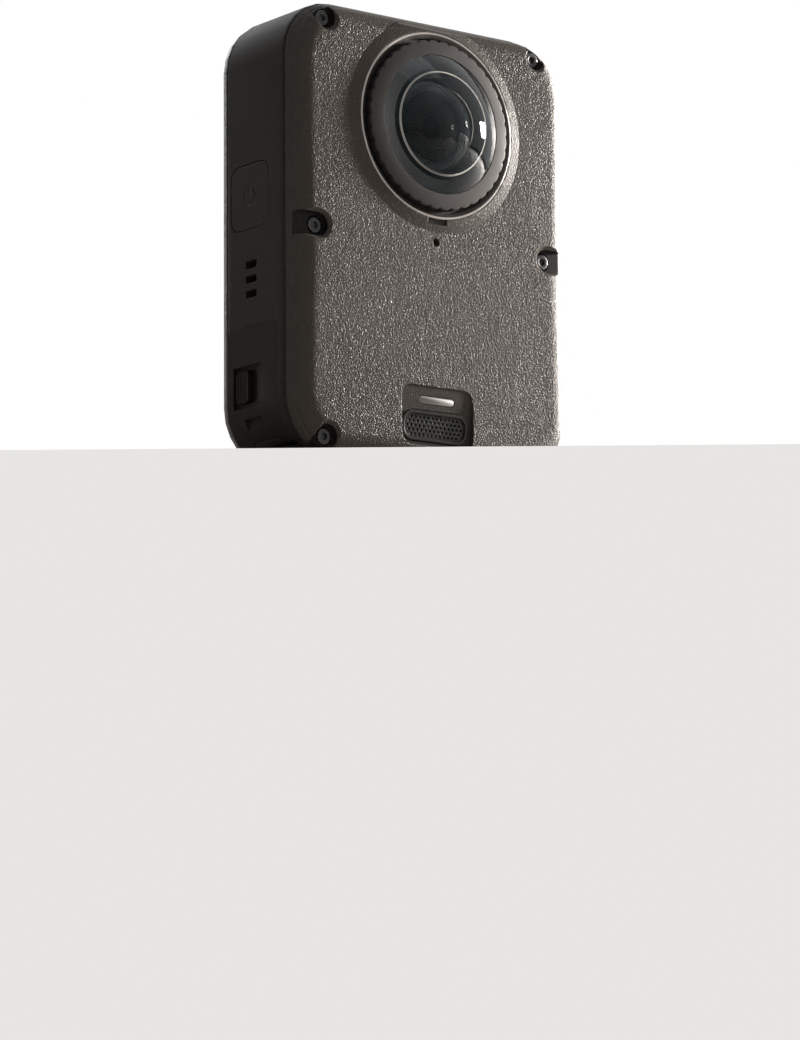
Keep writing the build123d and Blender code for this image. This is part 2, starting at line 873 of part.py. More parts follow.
def make_mid_frame():
    """The moulded middle frame: side walls, lips, screw posts and every opening in the sides."""
    body = slab(outline(0) - outline(frame_wall), frame_front_y, frame_rear_y)
    front_end = frame_front_y - front_lip_height
    rear_end = frame_rear_y + rear_lip_height
    body += slab(outline(lip_inset) - outline(frame_wall), front_end, rear_end)
    body -= edge_bevel(frame_front_y, -1)
    body -= edge_bevel(frame_rear_y, 1)
    for screws, end, forward in ((front_screws, front_end, -1), (rear_screws, rear_end, 1)):
        for place in screws:
            foot = end - forward * post_length
            if forward < 0 and abs(place[0]) == middle_screw_x:
                foot = board_front_y - board_post_gap
            body += screw_post(place, foot, end)
    for screws, end, forward in ((front_screws, front_end, -1), (rear_screws, rear_end, 1)):
        for x, z, angle in screws:
            foot = end - forward * (post_length - thread_play)
            body -= peg_y(x, z, screw_shank_radius + thread_play, foot, end + forward * overrun)
    body += Compound(children=key_standoffs(-1, side_middle_y, power_z))
    body += Compound(children=key_standoffs(1, side_middle_y, quick_z))
    middle = Pos(0, side_middle_y)
    body += flat_slab(middle * RegularPolygon(insert_flange_radius + insert_boss_wall, inner_sides),
                      frame_wall / 2, insert_height - snug)
    body -= flat_slab(middle * RegularPolygon(insert_flange_radius + snug, inner_sides), -overrun,
                      insert_flange_height + snug)
    body -= flat_slab(middle * RegularPolygon(insert_radius + snug, inner_sides), -overrun,
                      insert_height + overrun)
    body = cut_battery_side(body, rear_end)
    body -= button_pocket(-1, power_y, power_z, power_width, power_height, power_corner)
    body -= button_pocket(1, side_middle_y, quick_z, quick_width, quick_height, quick_corner)
    for i in range(vent_count):
        z = vent_middle_z + (i - (vent_count - 1) / 2) * vent_pitch
        slot = side_shape(side_middle_y, z, vent_width, vent_height, vent_corner, 0)
        body -= side_slab(slot, -half_width - overrun, left(frame_wall + snug))
    body -= claw_notch(1)
    return cut_port(body)


def cut_battery_side(body, rear_end):
    """The frame with the battery door's stepped opening, hinge lug, pin bore and latch catch."""
    front = door_front_y - door_gap
    skin_zone = (outline(-overrun) - outline(door_skin + slip)) & above_hinge(door_top_z + door_gap)
    skin_cut = slab(skin_zone, front, frame_rear_y)
    body -= skin_cut & side_slab(door_face(door_gap), -half_width - overrun, left_corner_x)
    inner_zone = (outline(0) - outline(frame_wall + snug)) & above_hinge(door_opening_top_z)
    body -= slab(inner_zone, door_opening_front_y, door_opening_rear_y)
    body -= bore_y(hinge_x, hinge_z, hinge_clear, front, frame_rear_y)
    body += door_hinge_lug()
    body -= peg_y(hinge_x, hinge_z, hinge_press_radius, door_pin[0], frame_rear_y)
    half_tongue = latch_tongue_width / 2 + slip
    return body - block(left(lip_inset - snug), left(frame_wall + snug), door_opening_rear_y - snug,
                        rear_end + overrun, latch_middle_z - half_tongue, latch_middle_z + half_tongue)


def door_hinge_lug():
    """The frame's own knuckle between those of the battery door, on its web."""
    web = Pos(lug_reach / 2, lug_web / 2) * Rectangle(lug_reach, lug_web)
    shape = RegularPolygon(knuckle_radius, rod_sides) + web
    return slab(Pos(hinge_x, hinge_z) * Rot(0, 0, -hinge_slope_degrees) * shape, door_lug[0], door_lug[1])


def cut_port(body):
    """The frame with the port door's recess, hinge lug, pin bore and plug opening."""
    outer = half_width + overrun
    inner_face = half_width - frame_wall
    reach = port_clear + port_backing
    body += block(port_hinge_x - reach, inner_face, port_front_y - port_backing, port_rear_y + port_backing,
                  port_hinge_z - reach, port_hinge_z + reach)
    height = port_door_top_z - port_hinge_z
    shape = Pos(side_middle_y, port_hinge_z + height / 2) * Rectangle(
        port_door_width + 2 * door_gap, height + 2 * door_gap)
    shape = fillet(shape.vertices().sort_by(Axis.Y)[-2:], port_corner + door_gap)
    body -= side_slab(shape, half_width - port_skin - slip, outer)
    body -= bore_y(port_hinge_x, port_hinge_z, port_clear, port_front_y - door_gap, port_rear_y + door_gap)
    body += rod_y(port_hinge_x, port_hinge_z, port_knuckle_radius, port_lug[0], port_lug[1])
    body += block(port_hinge_x - port_clear - snug, port_hinge_x, port_lug[0], port_lug[1],
                  port_hinge_z - port_knuckle_radius, port_hinge_z)
    body -= peg_y(port_hinge_x, port_hinge_z, hinge_press_radius, port_pin[0], port_pin[1])
    opening = Pos(side_middle_y, port_opening_z) * upright_slot(port_opening_height, port_opening_width)
    return body - side_slab(opening, inner_face - overrun, outer)


# Battery door

latch_middle_z = (latch_window_bottom_z + latch_window_top_z) / 2


def make_battery_door():
    """The curved battery door with its knuckles, finger recess, latch window and inner ribs."""
    zone = (outline(0) - outline(door_skin)) & above_hinge(door_top_z)
    door = slab(zone, door_front_y, door_rear_y) & side_slab(door_face(0), -half_width - overrun, left_corner_x)
    door -= bore_y(hinge_x, hinge_z, knuckle_radius + hinge_end_gap, door_lug[0] - hinge_end_gap,
                   door_lug[1] + hinge_end_gap)
    for low, high in (front_knuckle, rear_knuckle):
        door += rod_y(hinge_x, hinge_z, knuckle_radius, low, high)
    door -= bore_y(hinge_x, hinge_z, hinge_bore_radius, door_front_y - overrun, frame_rear_y)
    for low in (latch_plate_bottom_z - 2 * slip - door_rib_height, latch_plate_top_z + 2 * slip):
        door += block(left(door_skin / 2), left(door_rib_inset), door_plate_front_y, door_plate_rear_y,
                      low, low + door_rib_height)
    door -= latch_recess()
    window = Pos((latch_window_front_y + latch_window_rear_y) / 2, latch_middle_z) * rounded(
        latch_window_rear_y - latch_window_front_y, latch_window_top_z - latch_window_bottom_z,
        latch_window_corner)
    door -= side_slab(window, -half_width - overrun, left(door_skin + slip))
    return door - claw_notch(-1)


def latch_recess():
    """The wedge cut that lets a finger in behind the latch, deepest at the rear."""
    ramp = Plane.XY.offset(latch_recess_bottom_z) * make_face(Polyline(
        (left(-overrun), latch_recess_front_y), (left(0), latch_recess_front_y),
        (left(latch_recess_depth), latch_recess_ramp_y), (left(latch_recess_depth), latch_recess_rear_y),
        (left(-overrun), latch_recess_rear_y), close=True))
    return extrude(ramp, amount=latch_recess_top_z - latch_recess_bottom_z)


def make_door_plate():
    """The battery door's inner plate, which covers the latch."""
    return side_slab(door_plate_shape(0), left(door_rib_inset), left(door_rib_inset + door_plate_thickness))


def door_plate_shape(inset):
    """The outline of the door's inner plate, drawn in by inset."""
    width = door_plate_rear_y - door_plate_front_y - 2 * inset
    height = door_plate_top_z - door_plate_bottom_z - 2 * inset
    middle = Pos((door_plate_front_y + door_plate_rear_y) / 2, (door_plate_bottom_z + door_plate_top_z) / 2)
    return middle * Rectangle(width, height)


def make_door_seal():
    """The rubber ring on the door's inner plate that closes on the battery bay's mouth."""
    ring = door_plate_shape(0) - door_plate_shape(door_seal_width)
    low = door_rib_inset + door_plate_thickness
    return side_slab(ring, left(low), left(low + door_seal_height))


def make_latch():
    """The sliding latch: ridged knob, plate behind the door's skin and tongue."""
    plate_inset = door_skin + slip
    plate = block(left(plate_inset), left(plate_inset + latch_plate_thickness), latch_plate_front_y,
                  latch_plate_rear_y, latch_plate_bottom_z, latch_plate_top_z)
    tongue = block(left(plate_inset), left(plate_inset + latch_plate_thickness), latch_plate_front_y,
                   latch_tongue_rear_y, latch_middle_z - latch_tongue_width / 2,
                   latch_middle_z + latch_tongue_width / 2)
    knob_rear = latch_window_rear_y - slip
    knob_shape = Pos(knob_rear - latch_knob_width / 2, latch_middle_z) * rounded(
        latch_knob_width, latch_window_top_z - latch_window_bottom_z - 2 * slip, latch_window_corner - slip)
    knob = side_slab(knob_shape, left(latch_knob_inset), left(plate_inset + snug))
    pitch = latch_knob_width / (latch_grooves + 1)
    for i in range(latch_grooves):
        y = knob_rear - pitch * (i + 1)
        knob -= block(left(-overrun), left(latch_knob_inset + latch_groove_depth), y - latch_groove_width / 2,
                      y + latch_groove_width / 2, latch_window_bottom_z, latch_window_top_z)
    return plate + tongue + knob


def hinge_pin(x, z, ends):
    """A plain hinge pin."""
    return peg_y(x, z, hinge_pin_radius, ends[0] + gasket_play, ends[1] - gasket_play)


# Port door

def make_port_door():
    """The port door with its two knuckles and the nail notch in its top edge."""
    height = port_door_top_z - port_hinge_z
    shape = Pos(side_middle_y, port_hinge_z + height / 2) * Rectangle(port_door_width, height)
    shape = fillet(shape.vertices().sort_by(Axis.Y)[-2:], port_corner)
    door = side_slab(shape, half_width - port_skin, half_width)
    door -= bore_y(port_hinge_x, port_hinge_z, port_knuckle_radius + hinge_end_gap,
                   port_lug[0] - hinge_end_gap, port_lug[1] + hinge_end_gap)
    for low, high in (port_front_knuckle, port_rear_knuckle):
        door += rod_y(port_hinge_x, port_hinge_z, port_knuckle_radius, low, high)
    door -= bore_y(port_hinge_x, port_hinge_z, hinge_bore_radius, port_front_y - overrun,
                   port_rear_y + overrun)
    half_pull = port_pull_width / 2
    return door - block(half_width - port_pull_depth, half_width + overrun, side_middle_y - half_pull,
                        side_middle_y + half_pull, port_door_top_z - port_pull_height,
                        port_door_top_z + overrun)


def make_port_seal():
    """The rubber plug on the inside of the port door."""
    plug = Pos(side_middle_y, port_opening_z) * upright_slot(port_plug_height, port_plug_width)
    inner = half_width - port_skin
    return side_slab(plug, inner - port_plug_depth, inner)


def make_usb_socket():
    """The data and charging socket: round-ended metal shell, back wall and contact tongue."""
    mouth = half_width - port_skin - port_plug_depth - slip
    back = mouth - socket_length
    middle = Pos(side_middle_y, port_opening_z)
    shell = side_slab(middle * upright_slot(socket_outer_height, socket_outer_width), back, mouth)
    shell -= side_slab(middle * upright_slot(socket_inner_height, socket_inner_width),
                       back + socket_back_wall, mouth + overrun)
    tongue = side_slab(middle * Rectangle(socket_tongue_width, socket_tongue_height),
                       back + socket_back_wall / 2, back + socket_back_wall + socket_tongue_length)
    return shell + tongue


def make_io_board():
    """The small board behind the socket."""
    front = side_middle_y + socket_outer_width / 2
    right = half_width - port_skin - port_plug_depth - slip
    return block(right - io_board_width, right, front, front + io_board_thickness, io_board_bottom_z,
                 io_board_top_z)


# Side buttons

def side_button(y, z, width, height, corner):
    """A side button on the +X side: bevelled cap, core through the wall, stop tabs and nub."""
    cap_in = half_width - button_cap_thickness
    cap = side_slab(side_shape(y, z, width, height, corner, 0), cap_in, half_width)
    cap = chamfer(cap.faces().sort_by(Axis.X)[-1].edges(), button_edge)
    tab_out = half_width - frame_wall - snug
    tab_in = tab_out - button_tab_thickness
    middle = Pos(y, z)
    core = side_slab(middle * Rectangle(button_core_width, button_core_height), tab_in, cap_in)
    tab = side_slab(middle * Rectangle(button_core_width, button_tab_height), tab_in, tab_out)
    nub = side_slab(middle * RegularPolygon(button_nub_radius, peg_sides), tab_in - button_nub_height,
                    tab_in)
    return cap + core + tab + nub


def power_symbol():
    """The generic power symbol: an open ring with a bar in its gap, in y and z."""
    ring = RegularPolygon(symbol_radius, rod_sides) - RegularPolygon(symbol_radius - symbol_line, rod_sides)
    reach = 2 * symbol_radius
    half_gap = radians(symbol_opening_degrees / 2)
    gap = make_face(Polyline((0, 0), (reach * sin(half_gap), reach * cos(half_gap)),
                             (-reach * sin(half_gap), reach * cos(half_gap)), close=True))
    bar = Pos(0, symbol_radius + symbol_bar_rise - symbol_bar_length / 2) * Rectangle(
        symbol_line, symbol_bar_length)
    return Pos(power_y, power_z) * (ring - gap + bar)


def make_power_button():
    """The power button on the -X side, with the symbol cut into its face."""
    button = mirror(side_button(power_y, power_z, power_width, power_height, power_corner), Plane.YZ)
    return button - side_slab(power_symbol(), left(-overrun), left(symbol_depth))


def key_switch(y, z):
    """A side button's key board with its switch, on the +X side."""
    board = side_slab(Pos(y, z) * Rectangle(key_board_width, key_board_height),
                      key_board_x - key_board_thickness, key_board_x)
    switch = side_slab(Pos(y, z) * Rectangle(key_switch_size, key_switch_size), key_board_x,
                       key_board_x + key_switch_height)
    return board + switch


def make_vent_membrane():
    """The breathing membrane glued over the vent slots from inside."""
    height = (vent_count - 1) * vent_pitch + vent_height + 2 * vent_membrane_margin
    shape = Pos(side_middle_y, vent_middle_z) * Rectangle(vent_width + 2 * vent_membrane_margin, height)
    return side_slab(shape, left(frame_wall + snug), left(frame_wall + snug + vent_membrane_thickness))


# Lens modules, built about the lens axis with z as the height over the cover's face

def make_bezel():
    """The polished bezel ring: thin bright bead, inward slope and a channel for the retaining ring."""
    bead = bezel_radius - bezel_edge
    return turned([
        (bezel_bore_radius, bezel_seat_height), (bezel_radius, bezel_seat_height),
        (bezel_radius, bezel_top_height - bezel_edge), (bead, bezel_top_height),
        (bead - bezel_land, bezel_top_height), (bezel_channel_radius, bezel_channel_height),
        (bezel_channel_radius, bezel_floor_height), (bezel_bore_radius, bezel_floor_height),
    ], lens_sides)


def make_retaining_ring():
    """The scalloped ring that screws down on the dome's flange."""
    lip_radius = dome_edge_radius + retainer_play
    lip_low = dome_flange_top + retainer_play
    thread = barrel_radius + retainer_play
    low = bezel_floor_height + retainer_play
    outer = retainer_radius + retainer_lobe_depth
    ring = turned([
        (thread, low), (outer, low), (outer, retainer_rim_height),
        (lip_radius, lip_low + retainer_lip), (lip_radius, lip_low), (thread, lip_low),
    ], retainer_lobes)
    crest_angle = full_turn / retainer_lobes
    crests = []
    for i in range(retainer_lobes):
        crests.append(Rot(0, 0, i * crest_angle) * Pos(retainer_radius, 0))
        crests.append(Rot(0, 0, (i + 1 / 2) * crest_angle) * Pos(retainer_radius - retainer_lobe_depth, 0))
    lobes = make_face(Polyline(*[place.position for place in crests], close=True))
    return ring & flat_slab(lobes, low - overrun, dome_crown_height)


def make_dome():
    """The outer fisheye dome with its clamped flange and hollow inner side."""
    outside = cap_points(dome_edge_radius, dome_edge_height, dome_crown_height, dome_rings)
    hollow = cap_points(dome_hollow_radius, dome_flange_bottom, dome_hollow_crown, dome_rings - 1)
    return turned(outside + [
        (dome_edge_radius, dome_flange_top), (dome_flange_radius, dome_flange_top),
        (dome_flange_radius, dome_flange_bottom),
    ] + hollow[::-1], lens_sides)


def make_barrel():
    """The lens barrel: stepped baffle, seats for the inner glass and a skirt round the sensor."""
    seat = second_lens_seat_height - snug
    lens_pocket = second_lens_radius + snug
    stop_seat = stop_height - snug
    stop_pocket = stop_radius + snug
    tread = (barrel_mouth_radius - lens_pocket) / baffle_steps
    points = []
    for i in range(baffle_steps):
        radius = barrel_mouth_radius - i * tread
        points.append((radius, barrel_top_height - i * baffle_rise))
        points.append((radius, barrel_top_height - (i + 1) * baffle_rise))
    points.append((lens_pocket, barrel_top_height - baffle_steps * baffle_rise))
    board = sensor_board_height
    return turned(points + [
        (lens_pocket, seat), (stop_pocket, seat), (stop_pocket, stop_seat),
        (group_radius + snug, stop_seat), (group_radius + snug, sensor_chamber_height),
        (sensor_chamber_radius, sensor_chamber_height), (sensor_chamber_radius, board),
        (barrel_neck_radius, board), (barrel_neck_radius, barrel_shoulder_height),
        (barrel_radius, barrel_shoulder_height), (barrel_radius, barrel_top_height),
    ], inner_sides)


def make_second_lens():
    """The second lens under the dome, a deep meniscus."""
    edge = second_lens_radius - second_lens_shoulder
    seat = second_lens_seat_height
    outside = cap_points(edge, seat + second_lens_rim, second_lens_crown, inner_rings + 1)
    hollow = cap_points(second_lens_hollow_radius, seat, second_lens_hollow_crown, inner_rings)
    return turned(outside + [
        (second_lens_radius, seat + second_lens_rim), (second_lens_radius, seat),
    ] + hollow[::-1], inner_sides)


def make_stop():
    """The aperture stop, a disc with a sharp-edged hole."""
    top = stop_height + stop_thickness
    return turned([(stop_opening, stop_height), (stop_radius, stop_height), (stop_radius, top),
                   (stop_opening + stop_thickness, top)], inner_sides)


def make_inner_group():
    """The cemented inner lens group in one cylinder of glass."""
    edge = group_radius - second_lens_shoulder
    outside = cap_points(edge, group_top_height, group_top_height + group_crown, inner_rings)
    return turned(outside + [
        (group_radius, group_top_height), (group_radius, group_bottom_height), (0, group_bottom_height),
    ], inner_sides)


def make_sensor():
    """The image sensor."""
    middle = sensor_board_height + sensor_thickness / 2
    return Pos(0, 0, middle) * Box(sensor_width, sensor_height, sensor_thickness)


def make_sensor_board():
    """The square board behind the image sensor."""
    middle = sensor_board_height - sensor_board_thickness / 2
    return Pos(0, 0, middle) * Box(sensor_board_size, sensor_board_size, sensor_board_thickness)


def make_lens_bracket():
    """The plate between the two lens modules, with an arm to each side wall."""
    half = bracket_thickness / 2
    plate = Pos(0, lens_axis_z) * Rectangle(bracket_width, bracket_height)
    arm_end = half_width - frame_wall - snug
    arms = span(-arm_end, arm_end, lens_axis_z - bracket_arm_height / 2, lens_axis_z + bracket_arm_height / 2)
    hole = Pos(0, lens_axis_z) * RegularPolygon(bracket_hole_radius, inner_sides)
    return slab(plate + arms - hole, -half, half)


# Screen and record button

def make_touch_glass():
    """The cover glass of the touch screen."""
    top = half_depth - screen_sink
    glass = slab(screen_shape(screen_width, screen_height, screen_corner), top - screen_glass_thickness, top)
    return chamfer(glass.faces().sort_by(Axis.Y)[-1].edges(), glass_edge)


def make_display_panel():
    """The display panel on the inside of the touch glass."""
    top = half_depth - screen_sink - screen_glass_thickness
    return slab(screen_shape(panel_width, panel_height, panel_corner), top - panel_thickness, top)


def make_record_button():
    """The round record button with a dished face and a stop flange behind the cover."""
    top = half_depth + record_stand
    flange_top = half_depth - cover_thickness - snug
    flange_low = flange_top - record_flange_thickness
    flange_radius = record_radius + record_flange_width
    dish_floor_radius = record_dish_radius - record_dish_depth * tan(radians(record_dish_degrees))
    axis = Plane(origin=(0, 0, record_z), x_dir=(-1, 0, 0), z_dir=(0, 1, 0)).location
    return axis * turned([
        (0, flange_low), (flange_radius, flange_low), (flange_radius, flange_top), (record_radius, flange_top),
        (record_radius, top - button_edge), (record_radius - button_edge, top), (record_dish_radius, top),
        (dish_floor_radius, top - record_dish_depth), (0, top - record_dish_depth),
    ], record_sides)


def make_record_switch():
    """The record button's key switch on its thin board."""
    top = (half_depth - cover_thickness - snug - record_flange_thickness - button_travel - snug)
    board_top = top - record_switch_height
    switch = slab(Pos(0, record_z) * Rectangle(key_switch_size, key_switch_size), board_top, top)
    board = slab(Pos(0, record_z) * Rectangle(key_board_height, key_board_width),
                 board_top - record_board_thickness, board_top)
    return switch + board


# Boards and metalwork behind the front cover

def make_main_board():
    """The main board, held at its edges by the front middle screw posts."""
    middle = (board_bottom_z + board_top_z) / 2
    shape = Pos(0, middle) * Rectangle(board_width, board_top_z - board_bottom_z)
    return slab(shape, board_front_y, board_front_y + board_thickness)


def make_shield():
    """The can over the processor."""
    middle = (board_bottom_z + board_top_z) / 2
    shape = Pos(0, middle) * Rectangle(shield_width, shield_height)
    return slab(shape, board_front_y - shield_thickness, board_front_y)


def make_spreader():
    """The copper heat spreader on the shield."""
    middle = (board_bottom_z + board_top_z) / 2
    low = board_front_y - shield_thickness
    shape = Pos(0, middle) * Rectangle(spreader_width, spreader_height)
    return slab(shape, low - spreader_thickness, low)


def make_tripod_insert():
    """The metal tripod thread insert with its flange, plain inside at the thread's radius."""
    middle = Pos(0, side_middle_y)
    body = flat_slab(middle * RegularPolygon(insert_flange_radius, inner_sides), 0, insert_flange_height)
    body += flat_slab(middle * RegularPolygon(insert_radius, inner_sides), 0, insert_height)
    return body - flat_slab(middle * Circle(thread_radius), -overrun, thread_depth)


# Battery, its bay and the memory card

battery_right_x = battery_left_x + battery_length
battery_front_y = battery_rear_y - battery_thickness
battery_top_z = battery_bottom_z + battery_height
bay_shell = battery_play + bay_wall
bay_right_x = battery_right_x + bay_shell
bay_top_z = battery_top_z + bay_shell
contact_middle_y = (battery_front_y + battery_rear_y) / 2
contact_bottom_z = battery_bottom_z + battery_height / 2 - contact_height / 2


def make_battery():
    """The battery block."""
    shape = Pos(contact_middle_y, battery_bottom_z + battery_height / 2) * rounded(
        battery_thickness, battery_height, battery_corner)
    return side_slab(shape, battery_left_x, battery_right_x)


def contact_rows():
    """The y of each battery contact."""
    return [contact_middle_y + (i - (contact_count - 1) / 2) * contact_pitch for i in range(contact_count)]


def make_battery_bay():
    """The open-ended bay round the battery, with the flange that the door's seal closes on."""
    mouth = left(bay_flange_inset)
    bay = block(mouth, bay_right_x, battery_front_y - bay_shell, battery_rear_y + bay_shell,
                battery_bottom_z - bay_shell, bay_top_z)
    bay += block(mouth, mouth + bay_wall, battery_front_y - bay_shell, battery_rear_y + bay_shell,
                 battery_bottom_z - bay_shell, card_top_z + bay_wall)
    bay = bay & slab(outline(frame_wall + snug), -half_depth, half_depth)
    shape = Pos(contact_middle_y, battery_bottom_z + battery_height / 2) * rounded(
        battery_thickness + 2 * battery_play, battery_height + 2 * battery_play, battery_corner + battery_play)
    bay -= side_slab(shape, mouth - overrun, battery_right_x + battery_play)
    bay -= block(mouth - overrun, mouth + bay_wall + snug, card_middle_y - card_width / 2 - battery_play,
                 card_middle_y + card_width / 2 + battery_play, card_bottom_z - battery_play,
                 card_top_z + battery_play)
    for y in contact_rows():
        bay -= block(battery_right_x, bay_right_x + overrun, y - contact_width / 2 - snug,
                     y + contact_width / 2 + snug, contact_bottom_z - snug,
                     contact_bottom_z + contact_height + snug)
    return bay


def make_battery_contacts():
    """The contact block behind the bay, with one blade through the wall for each battery pad."""
    block_half = (contact_count * contact_pitch) / 2
    contacts = block(bay_right_x + snug, bay_right_x + snug + contact_block_width,
                     contact_middle_y - block_half, contact_middle_y + block_half,
                     contact_bottom_z - contact_width, contact_bottom_z + contact_height + contact_width)
    for y in contact_rows():
        contacts += block(battery_right_x + snug, bay_right_x + 2 * snug, y - contact_width / 2,
                          y + contact_width / 2, contact_bottom_z, contact_bottom_z + contact_height)
    return contacts


card_bottom_z = card_z - card_thickness / 2
card_top_z = card_z + card_thickness / 2


def make_memory_card():
    """The memory card with the notch of its kind."""
    front = card_middle_y - card_width / 2
    rear = card_middle_y + card_width / 2
    right = card_left_x + card_length
    shape = make_face(Polyline(
        (card_left_x, front), (right, front), (right, rear - 2 * card_notch),
        (right - 2 * card_notch, rear - card_notch), (right - card_length / 2, rear - card_notch),
        (right - card_length / 2, rear), (card_left_x, rear), close=True))
    return flat_slab(shape, card_bottom_z, card_top_z)


def make_card_socket():
    """The thin metal socket over the battery bay that the card slides in."""
    mouth = card_left_x + card_mouth
    right = card_left_x + card_length + card_stop_gap
    front = card_middle_y - card_width / 2 - slip
    rear = card_middle_y + card_width / 2 + slip
    top = card_top_z + slip
    shell = block(mouth, right + socket_wall, front - socket_wall, rear + socket_wall, bay_top_z,
                  top + socket_wall)
    return shell - block(mouth - overrun, right, front, rear, card_bottom_z - slip, top)


# Front details

def make_status_light():
    """The frosted light pipe of the status light."""
    return floor_slab(light_shape(0), light_stand - light_thickness, light_stand)


def make_speaker_grille():
    """The speaker grille: raised rim round a sunk field of staggered holes."""
    grille = floor_slab(grille_shape(0), grille_rim_stand - grille_thickness, grille_rim_stand)
    grille -= floor_slab(grille_shape(grille_rim_width), -grille_field_drop, overrun)
    holes = []
    for row in range(grille_rows):
        count = grille_columns + row % 2
        down = (row - (grille_rows - 1) / 2) * grille_pitch
        for column in range(count):
            across = (column - (count - 1) / 2) * grille_pitch
            holes.append(Pos(across, down + on_floor(grille_z))
                         * RegularPolygon(grille_hole_radius, grille_hole_sides))
    return grille - floor_slab(Sketch() + holes, -overrun, overrun)


def make_speaker():
    """The loudspeaker behind the grille, with its sunk diaphragm."""
    front = -(half_depth - cover_thickness - recess_pad_depth - slip)
    body = slab(Pos(0, grille_z) * Rectangle(speaker_width, speaker_height), front,
                front + speaker_thickness)
    cone = slab(Pos(0, grille_z) * Rectangle(speaker_cone_width, speaker_cone_height),
                front - overrun, front + speaker_cone_depth)
    return body - cone


def make_microphone():
    """The microphone capsule behind its hole in the front cover."""
    front = -(half_depth - cover_thickness - snug)
    return slab(Pos(0, mic_z) * Rectangle(mic_size, mic_size), front, front + mic_thickness)


for seat, place in ((front_lens, "front"), (rear_lens, "rear")):
    for maker, name in (
        (make_bezel, "lens_bezel"),
        (make_retaining_ring, "lens_retaining_ring"),
        (make_dome, "dome_lens"),
        (make_barrel, "lens_barrel"),
        (make_second_lens, "second_lens"),
        (make_stop, "aperture_stop"),
        (make_inner_group, "inner_lens_group"),
        (make_sensor, "image_sensor"),
        (make_sensor_board, "sensor_board"),
    ):
        save(seat * maker(), place + "_" + name)

save(make_mid_frame(), "mid_frame")
save(make_front_cover(), "front_cover")
save(make_rear_cover(), "rear_cover")
save(cover_gasket(frame_front_y, -1), "front_gasket")
save(cover_gasket(frame_rear_y, 1), "rear_gasket")
save(cover_screws(front_screws, -1), "front_cover_screws")
save(cover_screws(rear_screws, 1), "rear_cover_screws")
save(make_lens_bracket(), "lens_bracket")
save(make_main_board(), "main_board")
save(make_shield(), "processor_shield")
save(make_spreader(), "heat_spreader")
save(make_battery(), "battery")
save(make_battery_bay(), "battery_bay")
save(make_battery_contacts(), "battery_contacts")
save(make_battery_door(), "battery_door")
save(make_door_plate(), "battery_door_plate")
save(make_door_seal(), "battery_door_seal")
save(hinge_pin(hinge_x, hinge_z, door_pin), "battery_door_pin")
save(make_latch(), "battery_latch")
save(make_port_door(), "port_door")
save(make_port_seal(), "port_door_seal")
save(hinge_pin(port_hinge_x, port_hinge_z, port_pin), "port_door_pin")
save(make_usb_socket(), "usb_socket")
save(make_io_board(), "io_board")
save(make_memory_card(), "memory_card")
save(make_card_socket(), "card_socket")
save(make_power_button(), "power_button")
save(side_button(side_middle_y, quick_z, quick_width, quick_height, quick_corner), "quick_switch_button")
save(mirror(key_switch(side_middle_y, power_z), Plane.YZ), "power_key_switch")
save(key_switch(side_middle_y, quick_z), "quick_key_switch")
save(make_record_button(), "record_button")
save(make_record_switch(), "record_key_switch")
save(make_touch_glass(), "touch_glass")
save(make_display_panel(), "display_panel")
save(make_speaker(), "speaker")
save(make_speaker_grille(), "speaker_grille")
save(make_status_light(), "status_light")
save(make_microphone(), "front_microphone")
save(make_vent_membrane(), "vent_membrane")
save(make_tripod_insert(), "tripod_insert")
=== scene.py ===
from math import asin, cos, pi, radians, sin, sqrt

import bmesh
import bpy
from mathutils import Matrix, Vector


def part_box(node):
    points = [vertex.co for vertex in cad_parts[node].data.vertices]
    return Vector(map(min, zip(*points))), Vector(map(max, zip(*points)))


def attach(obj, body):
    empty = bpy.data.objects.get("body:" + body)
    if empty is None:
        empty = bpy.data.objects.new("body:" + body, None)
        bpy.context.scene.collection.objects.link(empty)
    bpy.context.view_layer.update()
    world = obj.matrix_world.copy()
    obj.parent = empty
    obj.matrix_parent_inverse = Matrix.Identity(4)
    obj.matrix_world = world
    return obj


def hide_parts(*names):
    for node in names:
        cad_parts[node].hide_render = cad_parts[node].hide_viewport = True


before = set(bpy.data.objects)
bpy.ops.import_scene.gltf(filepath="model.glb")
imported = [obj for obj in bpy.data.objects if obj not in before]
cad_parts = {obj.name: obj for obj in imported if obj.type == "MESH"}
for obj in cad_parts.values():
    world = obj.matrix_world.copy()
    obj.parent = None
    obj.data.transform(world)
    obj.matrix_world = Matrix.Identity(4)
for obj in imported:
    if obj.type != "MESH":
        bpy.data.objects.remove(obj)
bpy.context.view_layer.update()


# ---------------------------------------------------------------- middle frame
# The band round the sides that carries every other piece, one nearly black moulding of
# glass-filled plastic with a satin spark-eroded texture, its edges a little polished by
# handling. The covers are screwed to it front and rear.

MM = 0.001


def node(tree, kind, inputs=None, **settings):
    """One node with its settings, its plain values and its links; a bare kind is a shader node."""
    made = tree.nodes.new(kind if "Node" in kind else "ShaderNode" + kind)
    for name, value in settings.items():
        setattr(made, name, value)
    for socket, value in (inputs or {}).items():
        if isinstance(value, bpy.types.NodeSocket):
            tree.links.new(value, made.inputs[socket])
        else:
            made.inputs[socket].default_value = value
    return made


def tree_of(*values):
    """The tree that the values are in."""
    return next(value.id_data for value in values if isinstance(value, bpy.types.NodeSocket))


def maths(operation, first, second=0.0):
    """One sum of two values."""
    return node(tree_of(first, second), "Math", {0: first, 1: second}, operation=operation).outputs[0]


def plus(first, second):
    """Two values added."""
    return maths("ADD", first, second)


def minus(first, second):
    """The second value taken from the first."""
    return maths("SUBTRACT", first, second)


def times(first, second):
    """Two values multiplied."""
    return maths("MULTIPLY", first, second)


